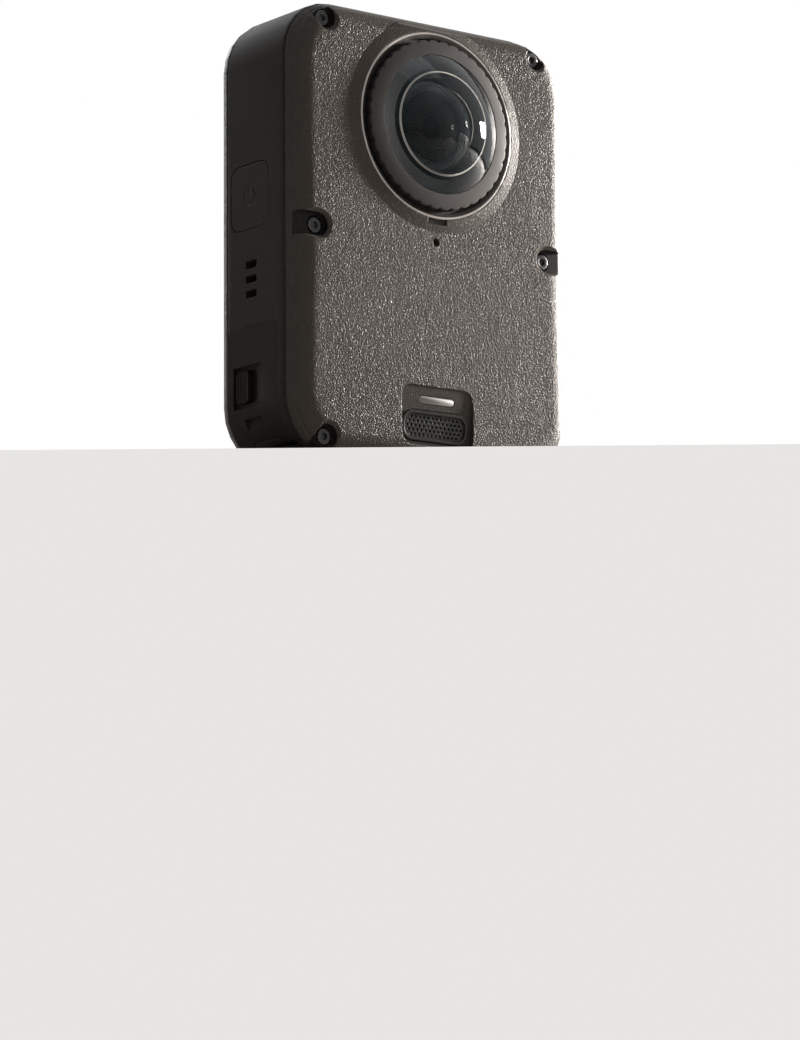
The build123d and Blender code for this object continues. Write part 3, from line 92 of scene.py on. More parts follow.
def scaled(vector, factor):
    """A colour or a place times a value."""
    return node(tree_of(vector, factor), "VectorMath", {0: vector, "Scale": factor},
                operation="SCALE").outputs[0]


def length(vector):
    """How long a vector is."""
    return node(vector.id_data, "VectorMath", {0: vector}, operation="LENGTH").outputs["Value"]


def ranged(value, low, high, to_low, to_high):
    """A value carried from one range to another and held inside it."""
    return node(value.id_data, "MapRange", {
        "Value": value, "From Min": low, "From Max": high, "To Min": to_low, "To Max": to_high,
    }).outputs[0]


def blended(share, first, second):
    """Two colours mixed by a share."""
    return node(share.id_data, "Mix", {0: share, 6: first, 7: second}, data_type="RGBA").outputs[2]


def noise(place, scale, detail=2.0, roughness=0.5, distortion=0.0):
    """Cloudy values from 0 to 1, round a half."""
    return node(place.id_data, "TexNoise", {
        "Vector": place, "Scale": scale, "Detail": detail, "Roughness": roughness,
        "Distortion": distortion,
    }).outputs["Fac"]


def where(tree):
    """Each point's place in its own object's frame."""
    return node(tree, "TexCoord").outputs["Object"]


def texture_group(name, inputs, outputs=("Color", "Roughness", "Height")):
    """An empty shader group: its tree, the values that come in and the sockets that go out."""
    tree = bpy.data.node_groups.new(name, "ShaderNodeTree")
    for label, start in inputs.items():
        kind = "NodeSocketColor" if isinstance(start, tuple) else "NodeSocketFloat"
        tree.interface.new_socket(name=label, in_out="INPUT", socket_type=kind).default_value = start
    for label in outputs:
        kind = {"Color": "NodeSocketColor", "Normal": "NodeSocketVector"}.get(label, "NodeSocketFloat")
        tree.interface.new_socket(name=label, in_out="OUTPUT", socket_type=kind)
    return tree, tree.nodes.new("NodeGroupInput").outputs, tree.nodes.new("NodeGroupOutput").inputs


def send(leave, **values):
    """Joins the group's results to its outputs."""
    for label, value in values.items():
        value.id_data.links.new(value, leave[label])


# Edges: a rounded normal, and a mask of where handling has rubbed the outer edges.
worn_edges, given, leave = texture_group("worn edges", {"Radius": 0.12 * MM}, ("Wear", "Normal"))
rounding = node(worn_edges, "Bevel", {"Radius": given["Radius"]}, samples=4)
shape = node(worn_edges, "NewGeometry")
turn = node(worn_edges, "VectorMath", {0: rounding.outputs[0], 1: shape.outputs["Normal"]},
            operation="DOT_PRODUCT").outputs["Value"]
rubbing = ranged(noise(where(worn_edges), 420.0, 3.0, 0.6), 0.36, 0.66, 0.15, 1.0)
wear = times(ranged(turn, 0.995, 0.86, 0.0, 1.0), rubbing)
send(leave, Wear=wear, Normal=rounding.outputs[0])

# Moulded plastic: fine texture, faint patches where the melt cooled unevenly, worn edges.
moulded, given, leave = texture_group("moulded plastic", {
    "Color": (0.05, 0.05, 0.05, 1), "Second Color": (0.1, 0.1, 0.1, 1), "Wear": 0.0,
    "Grain": 5000.0, "Patches": 0.15, "Roughness": 0.5,
})
place = where(moulded)
fine = noise(place, given["Grain"], 2.0, 0.6)
cloud = noise(place, 130.0, 4.0, 0.6)
shift = times(minus(cloud, 0.5), given["Patches"])
speck = times(minus(fine, 0.5), 0.5)
tone = plus(plus(shift, speck), 1.0)
shade = scaled(given["Color"], tone)
rough = plus(given["Roughness"], times(speck, 0.3))
rough = minus(rough, times(given["Wear"], 0.12))
send(leave, Color=blended(given["Wear"], shade, given["Second Color"]), Roughness=rough, Height=fine)


def group_node(tree, group, values):
    """A shared group placed in a tree with values of its own; what is None stays the group's."""
    placed = tree.nodes.new("ShaderNodeGroup")
    placed.node_tree = group
    for label, value in values.items():
        if value is not None:
            placed.inputs[label].default_value = (*value, 1) if isinstance(value, tuple) else value
    return placed


def finish(name, texture, colour, second=None, roughness=None, relief=0.0, specular=0.5, edge=0.12,
           plain=None, **values):
    """A material: a texture group in one shader, over its relief and its rounded, worn edges.
    The second colour is the worn, dusty or marked one; relief and edge radius are in millimetres."""
    made = bpy.data.materials.new(name)
    made.use_nodes = True
    tree = made.node_tree
    shader = tree.nodes["Principled BSDF"]
    for socket, value in {"Specular IOR Level": specular, **(plain or {})}.items():
        shader.inputs[socket].default_value = value
    skin = group_node(tree, texture, {
        "Color": colour, "Second Color": second, "Roughness": roughness, **values})
    if edge:
        edges = group_node(tree, worn_edges, {"Radius": edge * MM})
        if "Wear" in skin.inputs:
            tree.links.new(edges.outputs["Wear"], skin.inputs["Wear"])
        bump = node(tree, "Bump", {
            "Height": skin.outputs["Height"], "Normal": edges.outputs["Normal"], "Distance": relief * MM})
        tree.links.new(bump.outputs[0], shader.inputs["Normal"])
    for label, socket in (("Color", "Base Color"), ("Roughness", "Roughness"), ("Metallic", "Metallic")):
        if label in skin.outputs:
            tree.links.new(skin.outputs[label], shader.inputs[socket])
    return made


# The CAD solids are drawn in flats; this joins the flats of each round into one smooth skin
# and leaves every real edge sharp, also the gentle one at the foot of the slope round each lens.
gentle_edge, slope_edge = radians(32.0), radians(8.0)
lens_z, slope_reach = 61.1, 19.6
smooth_skin = bpy.data.node_groups.new("smooth skin", "GeometryNodeTree")
smooth_skin.interface.new_socket(name="Solid", in_out="INPUT", socket_type="NodeSocketGeometry")
smooth_skin.interface.new_socket(name="Skin", in_out="OUTPUT", socket_type="NodeSocketGeometry")
enter = node(smooth_skin, "NodeGroupInput")
drop = node(smooth_skin, "GeometryNodeRemoveAttribute", {0: enter.outputs[0], "Name": "custom_normal"})
join = node(smooth_skin, "GeometryNodeMergeByDistance", {0: drop.outputs[0], "Distance": 1e-6})
flats = node(smooth_skin, "GeometryNodeSetShadeSmooth", {0: join.outputs[0]})
angle = node(smooth_skin, "GeometryNodeInputMeshEdgeAngle").outputs[0]
spot = node(smooth_skin, "GeometryNodeInputPosition").outputs[0]
from_lens = node(smooth_skin, "VectorMath", {0: spot, 1: (0, 0, lens_z * MM)}, operation="SUBTRACT")
across = node(smooth_skin, "VectorMath", {0: from_lens.outputs[0], 1: (1, 0, 1)}, operation="MULTIPLY")
near_lens = node(smooth_skin, "FunctionNodeCompare", {
    0: length(across.outputs[0]), 1: slope_reach * MM}, operation="LESS_THAN")
folded = node(smooth_skin, "FunctionNodeCompare", {0: angle, 1: slope_edge}, operation="GREATER_THAN")
gentle = node(smooth_skin, "FunctionNodeCompare", {0: angle, 1: gentle_edge}, operation="LESS_THAN")
foot = node(smooth_skin, "FunctionNodeBooleanMath", {0: near_lens.outputs[0], 1: folded.outputs[0]},
            operation="AND")
rounded = node(smooth_skin, "FunctionNodeBooleanMath", {0: gentle.outputs[0], 1: foot.outputs[0]},
               operation="NIMPLY")
edges = node(smooth_skin, "GeometryNodeSetShadeSmooth", {
    0: flats.outputs[0], "Shade Smooth": rounded.outputs[0]}, domain="EDGE")
node(smooth_skin, "NodeGroupOutput", {0: edges.outputs[0]})


def dress(material, *names):
    """Gives CAD solids their material and their smooth skin."""
    for name in names:
        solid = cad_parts[name]
        for held in solid.material_slots:
            held.material = material
        solid.modifiers.new("smooth skin", "NODES").node_group = smooth_skin
        even = solid.modifiers.new("even shading", "WEIGHTED_NORMAL")
        even.keep_sharp = True


satin_black = finish(
    "satin black plastic", moulded, (0.018, 0.0150, 0.0132), (0.055, 0.048, 0.044), 0.55,
    relief=0.012, specular=0.05, edge=0.18, Grain=5200.0, Patches=0.25)
dress(satin_black, "mid_frame")


# ---------------------------------------------------------------- front and rear covers
# The two grained shells, moulded in warm dark grey plastic with a leathery grain and a
# rolled edge. Each is held by six screws, and rises in a low slope round its lens.

leathery, given, leave = texture_group("leathery grain", {
    "Color": (0.1, 0.1, 0.1, 1), "Second Color": (0.2, 0.2, 0.2, 1), "Wear": 0.0,
    "Cells": 1250.0, "Roughness": 0.5,
})
place = where(leathery)
sway = node(leathery, "TexNoise", {"Vector": place, "Scale": 900.0, "Detail": 1.0}).outputs["Color"]
pushed = scaled(sway, 0.7 * MM)
bent = node(leathery, "VectorMath", {0: place, 1: pushed}, operation="ADD").outputs[0]
pebble = node(leathery, "TexVoronoi", {"Vector": bent, "Scale": given["Cells"], "Smoothness": 0.35},
              feature="SMOOTH_F1").outputs["Distance"]
pebble_dome = ranged(pebble, 0.05, 0.75, 1.0, 0.0)
wrinkle = noise(bent, 3000.0, 2.0, 0.6)
swell = noise(place, 900.0, 1.0, 0.5)
creases = plus(times(wrinkle, 0.7), times(swell, 0.3))
height = plus(times(pebble_dome, 0.5), creases)
cloud = noise(place, 90.0, 4.0, 0.6)
# The colour follows the grain's height, over a random tone: painted shade in the creases and a painted
# highlight on the pebble tops.
tone = plus(ranged(height, 0.5, 1.15, 0.86, 1.10), times(minus(cloud, 0.5), 0.22))
shade = scaled(given["Color"], tone)
rough = minus(given["Roughness"], ranged(height, 0.6, 1.15, 0.0, 0.14))
send(leave, Color=blended(given["Wear"], shade, given["Second Color"]), Roughness=rough, Height=height)

# The screw pockets are moulded smooth; their near-black colour is painted shade in the hollows.
# The recess at the foot is painted part way towards that colour, also as painted shade.
# The recess at the foot and the slope round the lens have a shallower grain.
cover_skin, given, leave = texture_group("cover skin", {
    "Color": (0.1, 0.1, 0.1, 1), "Second Color": (0.2, 0.2, 0.2, 1), "Pocket": (0.02, 0.02, 0.02, 1),
    "Wear": 0.0, "Cells": 1250.0, "Roughness": 0.5,
})
corner_screw_x, corner_screw_low_z, corner_screw_high_z = 23.6, 3.2, 77.3
side_screw_x, front_side_screw_z, rear_side_screw_z = 25.4, 40.1, 43.6
screws_middle_z = (corner_screw_low_z + corner_screw_high_z) / 2
pocket_reach, pocket_low_y, rim_half_width, rim_half_height = 2.12, 11.42, 29.6, 39.6
recess_half, recess_middle_z, recess_half_height, recess_edge_y = 7.97, 8.8, 5.32, -11.97
slope_start, slope_end = 19.1, 19.5
pocket_calm, recess_calm, slope_calm, recess_shade = 0.92, 0.6, 0.3, 0.28
x, y, z = node(cover_skin, "SeparateXYZ", {0: where(cover_skin)}).outputs


def away(first, second):
    """The distance that two offsets make together."""
    return length(node(first.id_data, "CombineXYZ", {0: first, 1: second}).outputs[0])


def size_of(value):
    """A value without its sign."""
    return maths("ABSOLUTE", value)


def inside(value, limit):
    """1 where a value in metres is under a limit in millimetres."""
    return maths("LESS_THAN", value, limit * MM)


def short_of(value, limit):
    """How far a value in metres is under a limit in millimetres, as a value of 0 or less."""
    return maths("MINIMUM", minus(value, limit * MM), 0.0)


across = size_of(x)
outward = size_of(minus(z, screws_middle_z * MM))
corner = away(minus(across, corner_screw_x * MM), short_of(outward, corner_screw_high_z - screws_middle_z))
side_z = ranged(y, -1 * MM, 1 * MM, front_side_screw_z * MM, rear_side_screw_z * MM)
beside = away(short_of(across, side_screw_x), minus(z, side_z))
off_rim = times(inside(across, rim_half_width), inside(outward, rim_half_height))
near_screw = inside(maths("MINIMUM", corner, beside), pocket_reach)
pocket = times(off_rim, times(near_screw, inside(size_of(y), pocket_low_y)))
above = size_of(minus(z, recess_middle_z * MM))
behind_front = times(maths("GREATER_THAN", y, recess_edge_y * MM), inside(y, 0.0))
recess = times(inside(across, recess_half), times(inside(above, recess_half_height), behind_front))
grained = group_node(cover_skin, leathery, {})
for label in ("Color", "Second Color", "Wear", "Cells", "Roughness"):
    cover_skin.links.new(given[label], grained.inputs[label])
off_axis = away(x, minus(z, lens_z * MM))
slope = ranged(off_axis, slope_start * MM, slope_end * MM, slope_calm, 0.0)
smooth_places = maths("MAXIMUM", times(pocket, pocket_calm), times(recess, recess_calm))
calm = minus(1.0, maths("MAXIMUM", slope, smooth_places))
# Painted shade: the recess is darkened part way to the near-black pocket colour, and the pockets take that
# colour in full.
darker = blended(times(recess, recess_shade), grained.outputs["Color"], given["Pocket"])
send(leave, Color=blended(pocket, darker, given["Pocket"]), Roughness=grained.outputs["Roughness"],
     Height=times(grained.outputs["Height"], calm))

# The near-black colour given for the pockets is painted shade in the screw pockets and the recess at the
# foot.
leather_grain = finish(
    "leathery grained plastic", cover_skin, (0.043, 0.037, 0.0325), (0.078, 0.068, 0.060), 0.40,
    relief=0.116, specular=0.07, edge=0.22, Pocket=(0.010, 0.009, 0.0085), Cells=3100.0)
dress(leather_grain, "front_cover", "rear_cover")


# ---------------------------------------------------------------- gaskets and seals
# Soft rings and pads that keep water out: black rubber cords under the covers, grey
# silicone behind the two doors. They are moulded, dull, and hold a little dust.

dusty_rubber, given, leave = texture_group("dusty rubber", {
    "Color": (0.03, 0.03, 0.03, 1), "Second Color": (0.2, 0.19, 0.18, 1), "Dust": 0.3, "Roughness": 0.8})
place = where(dusty_rubber)
pores = noise(place, 3800.0, 3.0, 0.7)
lying = ranged(noise(place, 700.0, 4.0, 0.7), 0.5, 0.75, 0.0, 1.0)
dusty = times(lying, given["Dust"])
send(leave, Color=blended(dusty, given["Color"], given["Second Color"]),
     Roughness=plus(given["Roughness"], times(minus(pores, 0.5), 0.3)), Height=pores)

black_rubber = finish(
    "black gasket rubber", dusty_rubber, (0.012, 0.012, 0.012), (0.09, 0.085, 0.08), 0.8,
    relief=0.01, specular=0.2, Dust=0.35)
grey_silicone = finish(
    "grey seal silicone", dusty_rubber, (0.19, 0.19, 0.195), (0.33, 0.32, 0.31), 0.62,
    relief=0.01, specular=0.35, Dust=0.25)
dress(black_rubber, "front_gasket", "rear_gasket")
dress(grey_silicone, "battery_door_seal", "port_door_seal")


# ---------------------------------------------------------------- cover screws
# Twelve small socket-head machine screws of blackened steel, six in each cover, turned
# and then hot-pressed for the hexagon key. The edges of the heads are rubbed bright.

face_y = 12.0


def lofted(rings, closed):
    """Corners and faces of the skin over rings of corners, closed on itself or with filled ends."""
    count = len(rings[0])
    corners = [corner for ring in rings for corner in ring]
    faces = []
    for near in range(len(rings) if closed else len(rings) - 1):
        far = (near + 1) % len(rings)
        for i in range(count):
            j = (i + 1) % count
            faces.append((near * count + i, near * count + j, far * count + j, far * count + i))
    if not closed:
        faces.append(tuple(range(count)))
        faces.append(tuple(range((len(rings) - 1) * count, len(rings) * count)))
    return corners, faces


def turned(section, sides, place, shapes=None):
    """The skin of a turned piece. Shapes may vary single section points' radius with the turn."""
    rings = []
    for i, (r, h) in enumerate(section):
        vary = (shapes or {}).get(i)
        ring = []
        for step in range(sides):
            turn = 2 * pi * step / sides
            radius = r * vary(turn) if vary else r
            ring.append(place(radius * cos(turn), radius * sin(turn), h))
        rings.append(ring)
    return lofted(rings, True)


def lens_place(side, x=0.0, z=lens_z):
    """Puts a turned piece on an axis across the body, at heights over a cover's face."""
    return lambda u, v, h: (x + u, side * (face_y + h), z + v)


def piece(name, body, materials, skins, stands_for=(), sharp=35.0):
    """A new piece from skins in millimetres, each (corners, faces, material number or function)."""
    corners, faces, numbers = [], [], []
    for skin in skins:
        start = len(corners)
        corners += [tuple(value * MM for value in corner) for corner in skin[0]]
        for i, face in enumerate(skin[1]):
            faces.append(tuple(start + corner for corner in face))
            chosen = skin[2] if len(skin) > 2 else 0
            numbers.append(chosen(i) if callable(chosen) else chosen)
    mesh = bpy.data.meshes.new(name)
    mesh.from_pydata(corners, [], faces)
    for material in materials:
        mesh.materials.append(material)
    mesh.polygons.foreach_set("material_index", numbers)
    shell = bmesh.new()
    shell.from_mesh(mesh)
    bmesh.ops.remove_doubles(shell, verts=shell.verts, dist=1e-7)
    bmesh.ops.recalc_face_normals(shell, faces=shell.faces)
    shell.to_mesh(mesh)
    shell.free()
    mesh.shade_smooth()
    mesh.set_sharp_from_angle(angle=radians(sharp))
    made = bpy.data.objects.new(name, mesh)
    bpy.context.scene.collection.objects.link(made)
    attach(made, body)
    if stands_for:
        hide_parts(*stands_for)
    return made


turned_metal, given, leave = texture_group("turned metal", {
    "Color": (0.3, 0.3, 0.3, 1), "Second Color": (0.6, 0.6, 0.6, 1), "Wear": 0.0,
    "Lines": 9000.0, "Roughness": 0.35, "Metallic": 0.9,
}, ("Color", "Roughness", "Metallic", "Height"))
place = where(turned_metal)
x, y, z = node(turned_metal, "SeparateXYZ", {0: place}).outputs
radius = away(x, minus(z, lens_z * MM))
along = plus(radius, times(y, 0.7))
lines = node(turned_metal, "TexNoise", {"W": along, "Scale": given["Lines"], "Detail": 2.0},
             noise_dimensions="1D").outputs["Fac"]
cloud = noise(place, 260.0, 4.0, 0.65)
tone = plus(ranged(lines, 0.3, 0.7, -0.05, 0.05), ranged(cloud, 0.3, 0.7, 0.9, 1.1))
shade = scaled(given["Color"], tone)
rough = plus(given["Roughness"], ranged(cloud, 0.3, 0.7, -0.06, 0.08))
metallic = maths("MAXIMUM", given["Metallic"], given["Wear"])
send(leave, Color=blended(given["Wear"], shade, given["Second Color"]), Roughness=rough,
     Metallic=metallic, Height=lines)

blackened_steel = finish(
    "blackened screw steel", turned_metal, (0.035, 0.034, 0.034), (0.30, 0.29, 0.28), 0.34,
    relief=0.004, edge=0.1, Lines=5000.0, Metallic=0.8)

head_radius, head_low, head_top = 1.42, 9.62, 10.47
shank_radius, thread_depth, thread_pitch, screw_end = 0.8, 0.12, 0.4, 5.27
screw_sides = 36
key_radius, key_depth, key_ease = 0.7, 0.55, 0.08


def hexagon(turn):
    """How far a hexagon's side lies inside its corners at a turn."""
    return cos(pi / 6) / cos((turn % (pi / 3)) - pi / 6)


def screw_skin(x, z, side):
    """One screw: key hole, head and threaded shank."""
    key = [(0.0, head_top - key_depth), (key_radius, head_top - key_depth),
           (key_radius, head_top - key_ease)]
    head = [(key_radius + key_ease, head_top), (head_radius - 0.16, head_top),
            (head_radius - 0.04, head_top - 0.05), (head_radius, head_top - 0.18),
            (head_radius, head_low), (shank_radius, head_low)]
    thread = []
    y = head_low - thread_pitch
    while y > screw_end + thread_pitch:
        thread += [(shank_radius, y), (shank_radius - thread_depth, y - thread_pitch / 2)]
        y -= thread_pitch
    end = [(shank_radius - thread_depth, screw_end + 0.15), (shank_radius - 2 * thread_depth, screw_end),
           (0.0, screw_end)]
    section = [(r, h - face_y) for r, h in key + head + thread + end]
    return turned(section, screw_sides, lens_place(side, x, z), {1: hexagon, 2: hexagon})


for facing, side, side_screw_z in (("front", -1, front_side_screw_z), ("rear", 1, rear_side_screw_z)):
    spots = [(x, z) for x in (-corner_screw_x, corner_screw_x)
             for z in (corner_screw_low_z, corner_screw_high_z)]
    spots += [(x, side_screw_z) for x in (-side_screw_x, side_screw_x)]
    piece(f"{facing}_socket_screws", "camera_body", [blackened_steel],
          [screw_skin(x, z, side) for x, z in spots], [f"{facing}_cover_screws"])


# ---------------------------------------------------------------- lens bezels
# A turned aluminium ring let into each cover. Its narrow land is polished bright, the
# inner slope is dark satin, and a channel inside it takes the retaining ring; the channel
# is painted black as painted shade in the gap between bezel and ring.

polished_land = finish(
    "polished bezel land", turned_metal, (0.26, 0.24, 0.225), (0.42, 0.39, 0.37), 0.28,
    relief=0.001, edge=0.06, Lines=16000.0, Metallic=0.6)
dark_slope = finish(
    "dark bezel slope", turned_metal, (0.030, 0.025, 0.022), (0.12, 0.105, 0.096), 0.4,
    relief=0.001, specular=0.3, edge=0.04, Lines=16000.0, Metallic=0.2)
# Painted shade: near-black faces in the channel between bezel and ring, and on the ring's scalloped side
# wall and underside.
painted_shade_black = finish(
    "painted shade black", turned_metal, (0.012, 0.011, 0.011), (0.03, 0.03, 0.03), 0.6,
    relief=0.002, specular=0.2, edge=0.06, Lines=9000.0, Metallic=0.2)

bezel_section = [
    (14.3, -0.95), (16.9, -0.95), (16.9, 0.36), (16.87, 0.46), (16.80, 0.53), (16.70, 0.55),
    (16.54, 0.55), (16.48, 0.52), (15.75, 0.02), (15.75, -0.45), (14.3, -0.45),
]
bezel_finish = [2, 1, 0, 0, 0, 0, 0, 1, 2, 2, 2]
round_sides = 160
facings = (("front", -1), ("rear", 1))


def by_segment(numbers, sides):
    """The material number of each face of a turned skin, by its section's segments."""
    return lambda face: numbers[face // sides]


for facing, side in facings:
    corners, faces = turned(bezel_section, round_sides, lens_place(side))
    piece(f"{facing}_turned_bezel", "camera_body", [polished_land, dark_slope, painted_shade_black],
          [(corners, faces, by_segment(bezel_finish, round_sides))], [f"{facing}_lens_bezel"])


# ---------------------------------------------------------------- retaining rings
# The ring that screws down on the dome's flange, turned from aluminium and anodised a
# satin warm grey. Forty shallow scallops round its edge are for the assembly wrench. Its
# scalloped side wall and its underside are painted black as painted shade.

satin_ring = finish(
    "satin anodised ring", turned_metal, (0.028, 0.025, 0.0245), (0.055, 0.050, 0.048), 0.5,
    relief=0.0012, specular=0.1, edge=0.04, Lines=16000.0, Metallic=0.15)

scallops, scallop_sides = 40, 8
crest_radius, trough_radius = 15.3, 15.02
ring_section = [
    (14.06, -0.39), (crest_radius, -0.39), (crest_radius, 1.12), (crest_radius - 0.02, 1.15),
    (crest_radius - 0.05, 1.165), (14.97, 1.221), (14.82, 1.252), (12.62, 1.695), (12.58, 1.695),
    (12.56, 1.67), (12.56, 1.36), (14.06, 1.36),
]
# Faces numbered 1 take the painted shade black.
ring_finish = [1, 1, 0, 0, 0, 0, 0, 0, 0, 0, 1, 1]


def scalloped(turn):
    """The edge's radius, as a share of the crests', with rounded dips between wide crests."""
    dip = max(0.0, cos(scallops * turn)) ** 1.5
    return 1 - (1 - trough_radius / crest_radius) * dip


for facing, side in facings:
    edge_points = {point: scalloped for point in (1, 2, 3, 4)}
    corners, faces = turned(ring_section, scallops * scallop_sides, lens_place(side), edge_points)
    piece(f"{facing}_scalloped_ring", "camera_body", [satin_ring, painted_shade_black],
          [(corners, faces, by_segment(ring_finish, scallops * scallop_sides))],
          [f"{facing}_lens_retaining_ring"])


# ---------------------------------------------------------------- dome lenses
# The outer element of each fisheye lens, a deep polished dome of coated glass. The rim
# behind the hollow is painted black, and the ground edge of the hollow shows as a line.

smudged, given, leave = texture_group("wiped glass", {"Color": (0.9, 0.9, 0.9, 1), "Haze": 0.02})
place = where(smudged)
wiped = noise(place, 180.0, 5.0, 0.7, 0.6)
tone = ranged(noise(place, 60.0), 0.3, 0.7, 0.97, 1.0)
haze = times(ranged(wiped, 0.45, 0.8, 0.0, 1.0), given["Haze"])
send(leave, Color=scaled(given["Color"], tone), Roughness=haze, Height=wiped)


def coated_glass(name, colour, haze, reflection):
    """Glass with a coating that tints what it reflects; its colour dims what is seen through it, here
    painted shade over the lens inside.
    """
    return finish(name, smudged, colour, edge=0, Haze=haze, plain={
        "Transmission Weight": 1.0, "IOR": 1.52, "Specular Tint": (*reflection, 1)})


# The dome glass's grey colour is painted shade: it darkens everything seen through it.
dome_glass = coated_glass("coated dome glass", (0.42, 0.44, 0.44), 0.004, (0.105, 0.160, 0.190))
rim_black = finish(
    "black lens paint", moulded, (0.006, 0.006, 0.007), (0.02, 0.02, 0.02), 0.5,
    specular=0.1, edge=0, Grain=3000.0, Patches=0.1)
ground_edge = finish(
    "ground glass edge", moulded, (0.42, 0.39, 0.36), (0.6, 0.58, 0.55), 0.5,
    edge=0, Grain=6000.0, Patches=0.4)

flange_radius, flange_low, flange_top = 13.9, 0.2, 1.3
dome_edge, dome_edge_height, dome_crown, dome_steps = 12.5, 1.67, 6.15, 28
hollow_edge, hollow_crown, paint_edge, ground_width = 9.25, 4.85, 8.85, 0.3


def cap(edge_radius, edge_height, crown_height, steps):
    """The section of a domed face, from its crown on the axis to its edge."""
    rise = crown_height - edge_height
    ball = (edge_radius ** 2 + rise ** 2) / (2 * rise)
    spread = asin(edge_radius / ball)
    middle = crown_height - ball
    return [(ball * sin(spread * i / steps), middle + ball * cos(spread * i / steps))
            for i in range(steps + 1)]


outside = cap(dome_edge, dome_edge_height, dome_crown, dome_steps)
hollow = cap(hollow_edge, flange_low, hollow_crown, dome_steps)[::-1]
rim = [(dome_edge, flange_top), (flange_radius, flange_top), (flange_radius, flange_low)]
hollow_finish = [1 if r > paint_edge else 2 if r > paint_edge - ground_width else 0 for r, h in hollow]
dome_finish = [0] * dome_steps + [1] * (len(rim) + 1) + hollow_finish
for facing, side in facings:
    corners, faces = turned(outside + rim + hollow, round_sides, lens_place(side))
    dome = piece(f"{facing}_glass_dome", "camera_body", [dome_glass, rim_black, ground_edge],
                 [(corners, faces, by_segment(dome_finish, round_sides))], [f"{facing}_dome_lens"],
                 sharp=40)
    dome.visible_shadow = False


# ---------------------------------------------------------------- inner lenses and barrels
# Behind each dome a meniscus lens, a blackened aperture stop and a cemented group sit in
# a moulded barrel. The barrel's mouth is cut in fine steps that trap stray light.

# The inner glasses' colours are dimmed too, as painted shade deeper in the lens.
amber_glass = coated_glass("amber coated glass", (0.50, 0.46, 0.42), 0.0, (0.20, 0.115, 0.06))
green_glass = coated_glass("green coated glass", (0.50, 0.52, 0.50), 0.0, (0.11, 0.12, 0.10))
dead_black = finish(
    "dead black barrel", moulded, (0.005, 0.0047, 0.0044), (0.02, 0.018, 0.016), 0.7,
    relief=0.004, specular=0.08, edge=0.05, Grain=4000.0, Patches=0.2)
black_shim = finish(
    "blackened stop plate", turned_metal, (0.05, 0.042, 0.036), (0.30, 0.25, 0.20), 0.45,
    relief=0.002, edge=0.05, Lines=9000.0, Metallic=0.6)

lens_radius, lens_seat, lens_rim = 6.8, -1.6, 0.55
baffle_top, baffle_low, baffle_mouth, baffle_throat, baffle_steps = 0.1, -0.9, 9.4, 6.95, 5
meniscus_section = cap(6.55, lens_seat + lens_rim, 1.3, 16) + [
    (lens_radius, lens_seat + lens_rim), (lens_radius, lens_seat),
] + cap(5.4, lens_seat, -0.5, 12)[::-1]
group_section = cap(4.7, -3.6, -2.9, 10) + [(4.95, -3.6), (4.95, -7.9), (0.0, -7.9)]
stop_section = [(2.1, -2.65), (6.1, -2.65), (6.1, -2.35), (2.4, -2.35)]
tread = (baffle_mouth - baffle_throat) / baffle_steps
step_down = (baffle_top - baffle_low) / baffle_steps
baffle = []
for i in range(baffle_steps):
    step_radius, step_height = baffle_mouth - i * tread, baffle_top - i * step_down
    baffle += [(step_radius, step_height), (step_radius - 0.05, step_height - step_down)]
barrel_section = baffle + [
    (6.85, baffle_low), (6.85, -1.65), (6.15, -1.65), (6.15, -2.7), (5.0, -2.7), (5.0, -8.2), (9.0, -8.2),
    (9.0, -9.7), (10.5, -9.7), (10.5, -4.0), (14.0, -4.0), (14.0, 0.1),
]
for facing, side in facings:
    for made, slot, material, section, sides, solid in (
        ("meniscus", "glass", amber_glass, meniscus_section, 96, "second_lens"),
        ("glass_group", "glass", green_glass, group_section, 72, "inner_lens_group"),
        ("stop_plate", "stop", black_shim, stop_section, 72, "aperture_stop"),
        ("ribbed_barrel", "barrel", dead_black, barrel_section, 96, "lens_barrel"),
    ):
        piece(f"{facing}_{made}", "camera_body", [material],
              [turned(section, sides, lens_place(side))], [f"{facing}_{solid}"])


# ---------------------------------------------------------------- image sensors and their bracket
# Each lens images onto a sensor under cover glass, soldered to a small board. A pressed
# aluminium bracket between the two boards holds the lenses back to back.

etched_board, given, leave = texture_group("etched board", {
    "Color": (0.02, 0.1, 0.05, 1), "Second Color": (0.05, 0.2, 0.1, 1), "Pitch": 900.0, "Roughness": 0.4})
place = where(etched_board)
squares = node(etched_board, "TexVoronoi", {"Vector": place, "Scale": given["Pitch"], "Randomness": 0.45},
               distance="CHEBYCHEV", feature="F1").outputs["Distance"]
tracks = ranged(squares, 0.36, 0.40, 0.0, 1.0)
pads = node(etched_board, "TexVoronoi", {"Vector": place, "Scale": 420.0}).outputs["Distance"]
vias = ranged(pads, 0.14, 0.18, 1.0, 0.0)
copper = maths("MAXIMUM", tracks, vias)
weave = times(minus(noise(place, 2600.0, 2.0), 0.5), 0.3)
send(leave, Color=blended(copper, given["Color"], given["Second Color"]),
     Roughness=plus(given["Roughness"], weave), Height=copper)

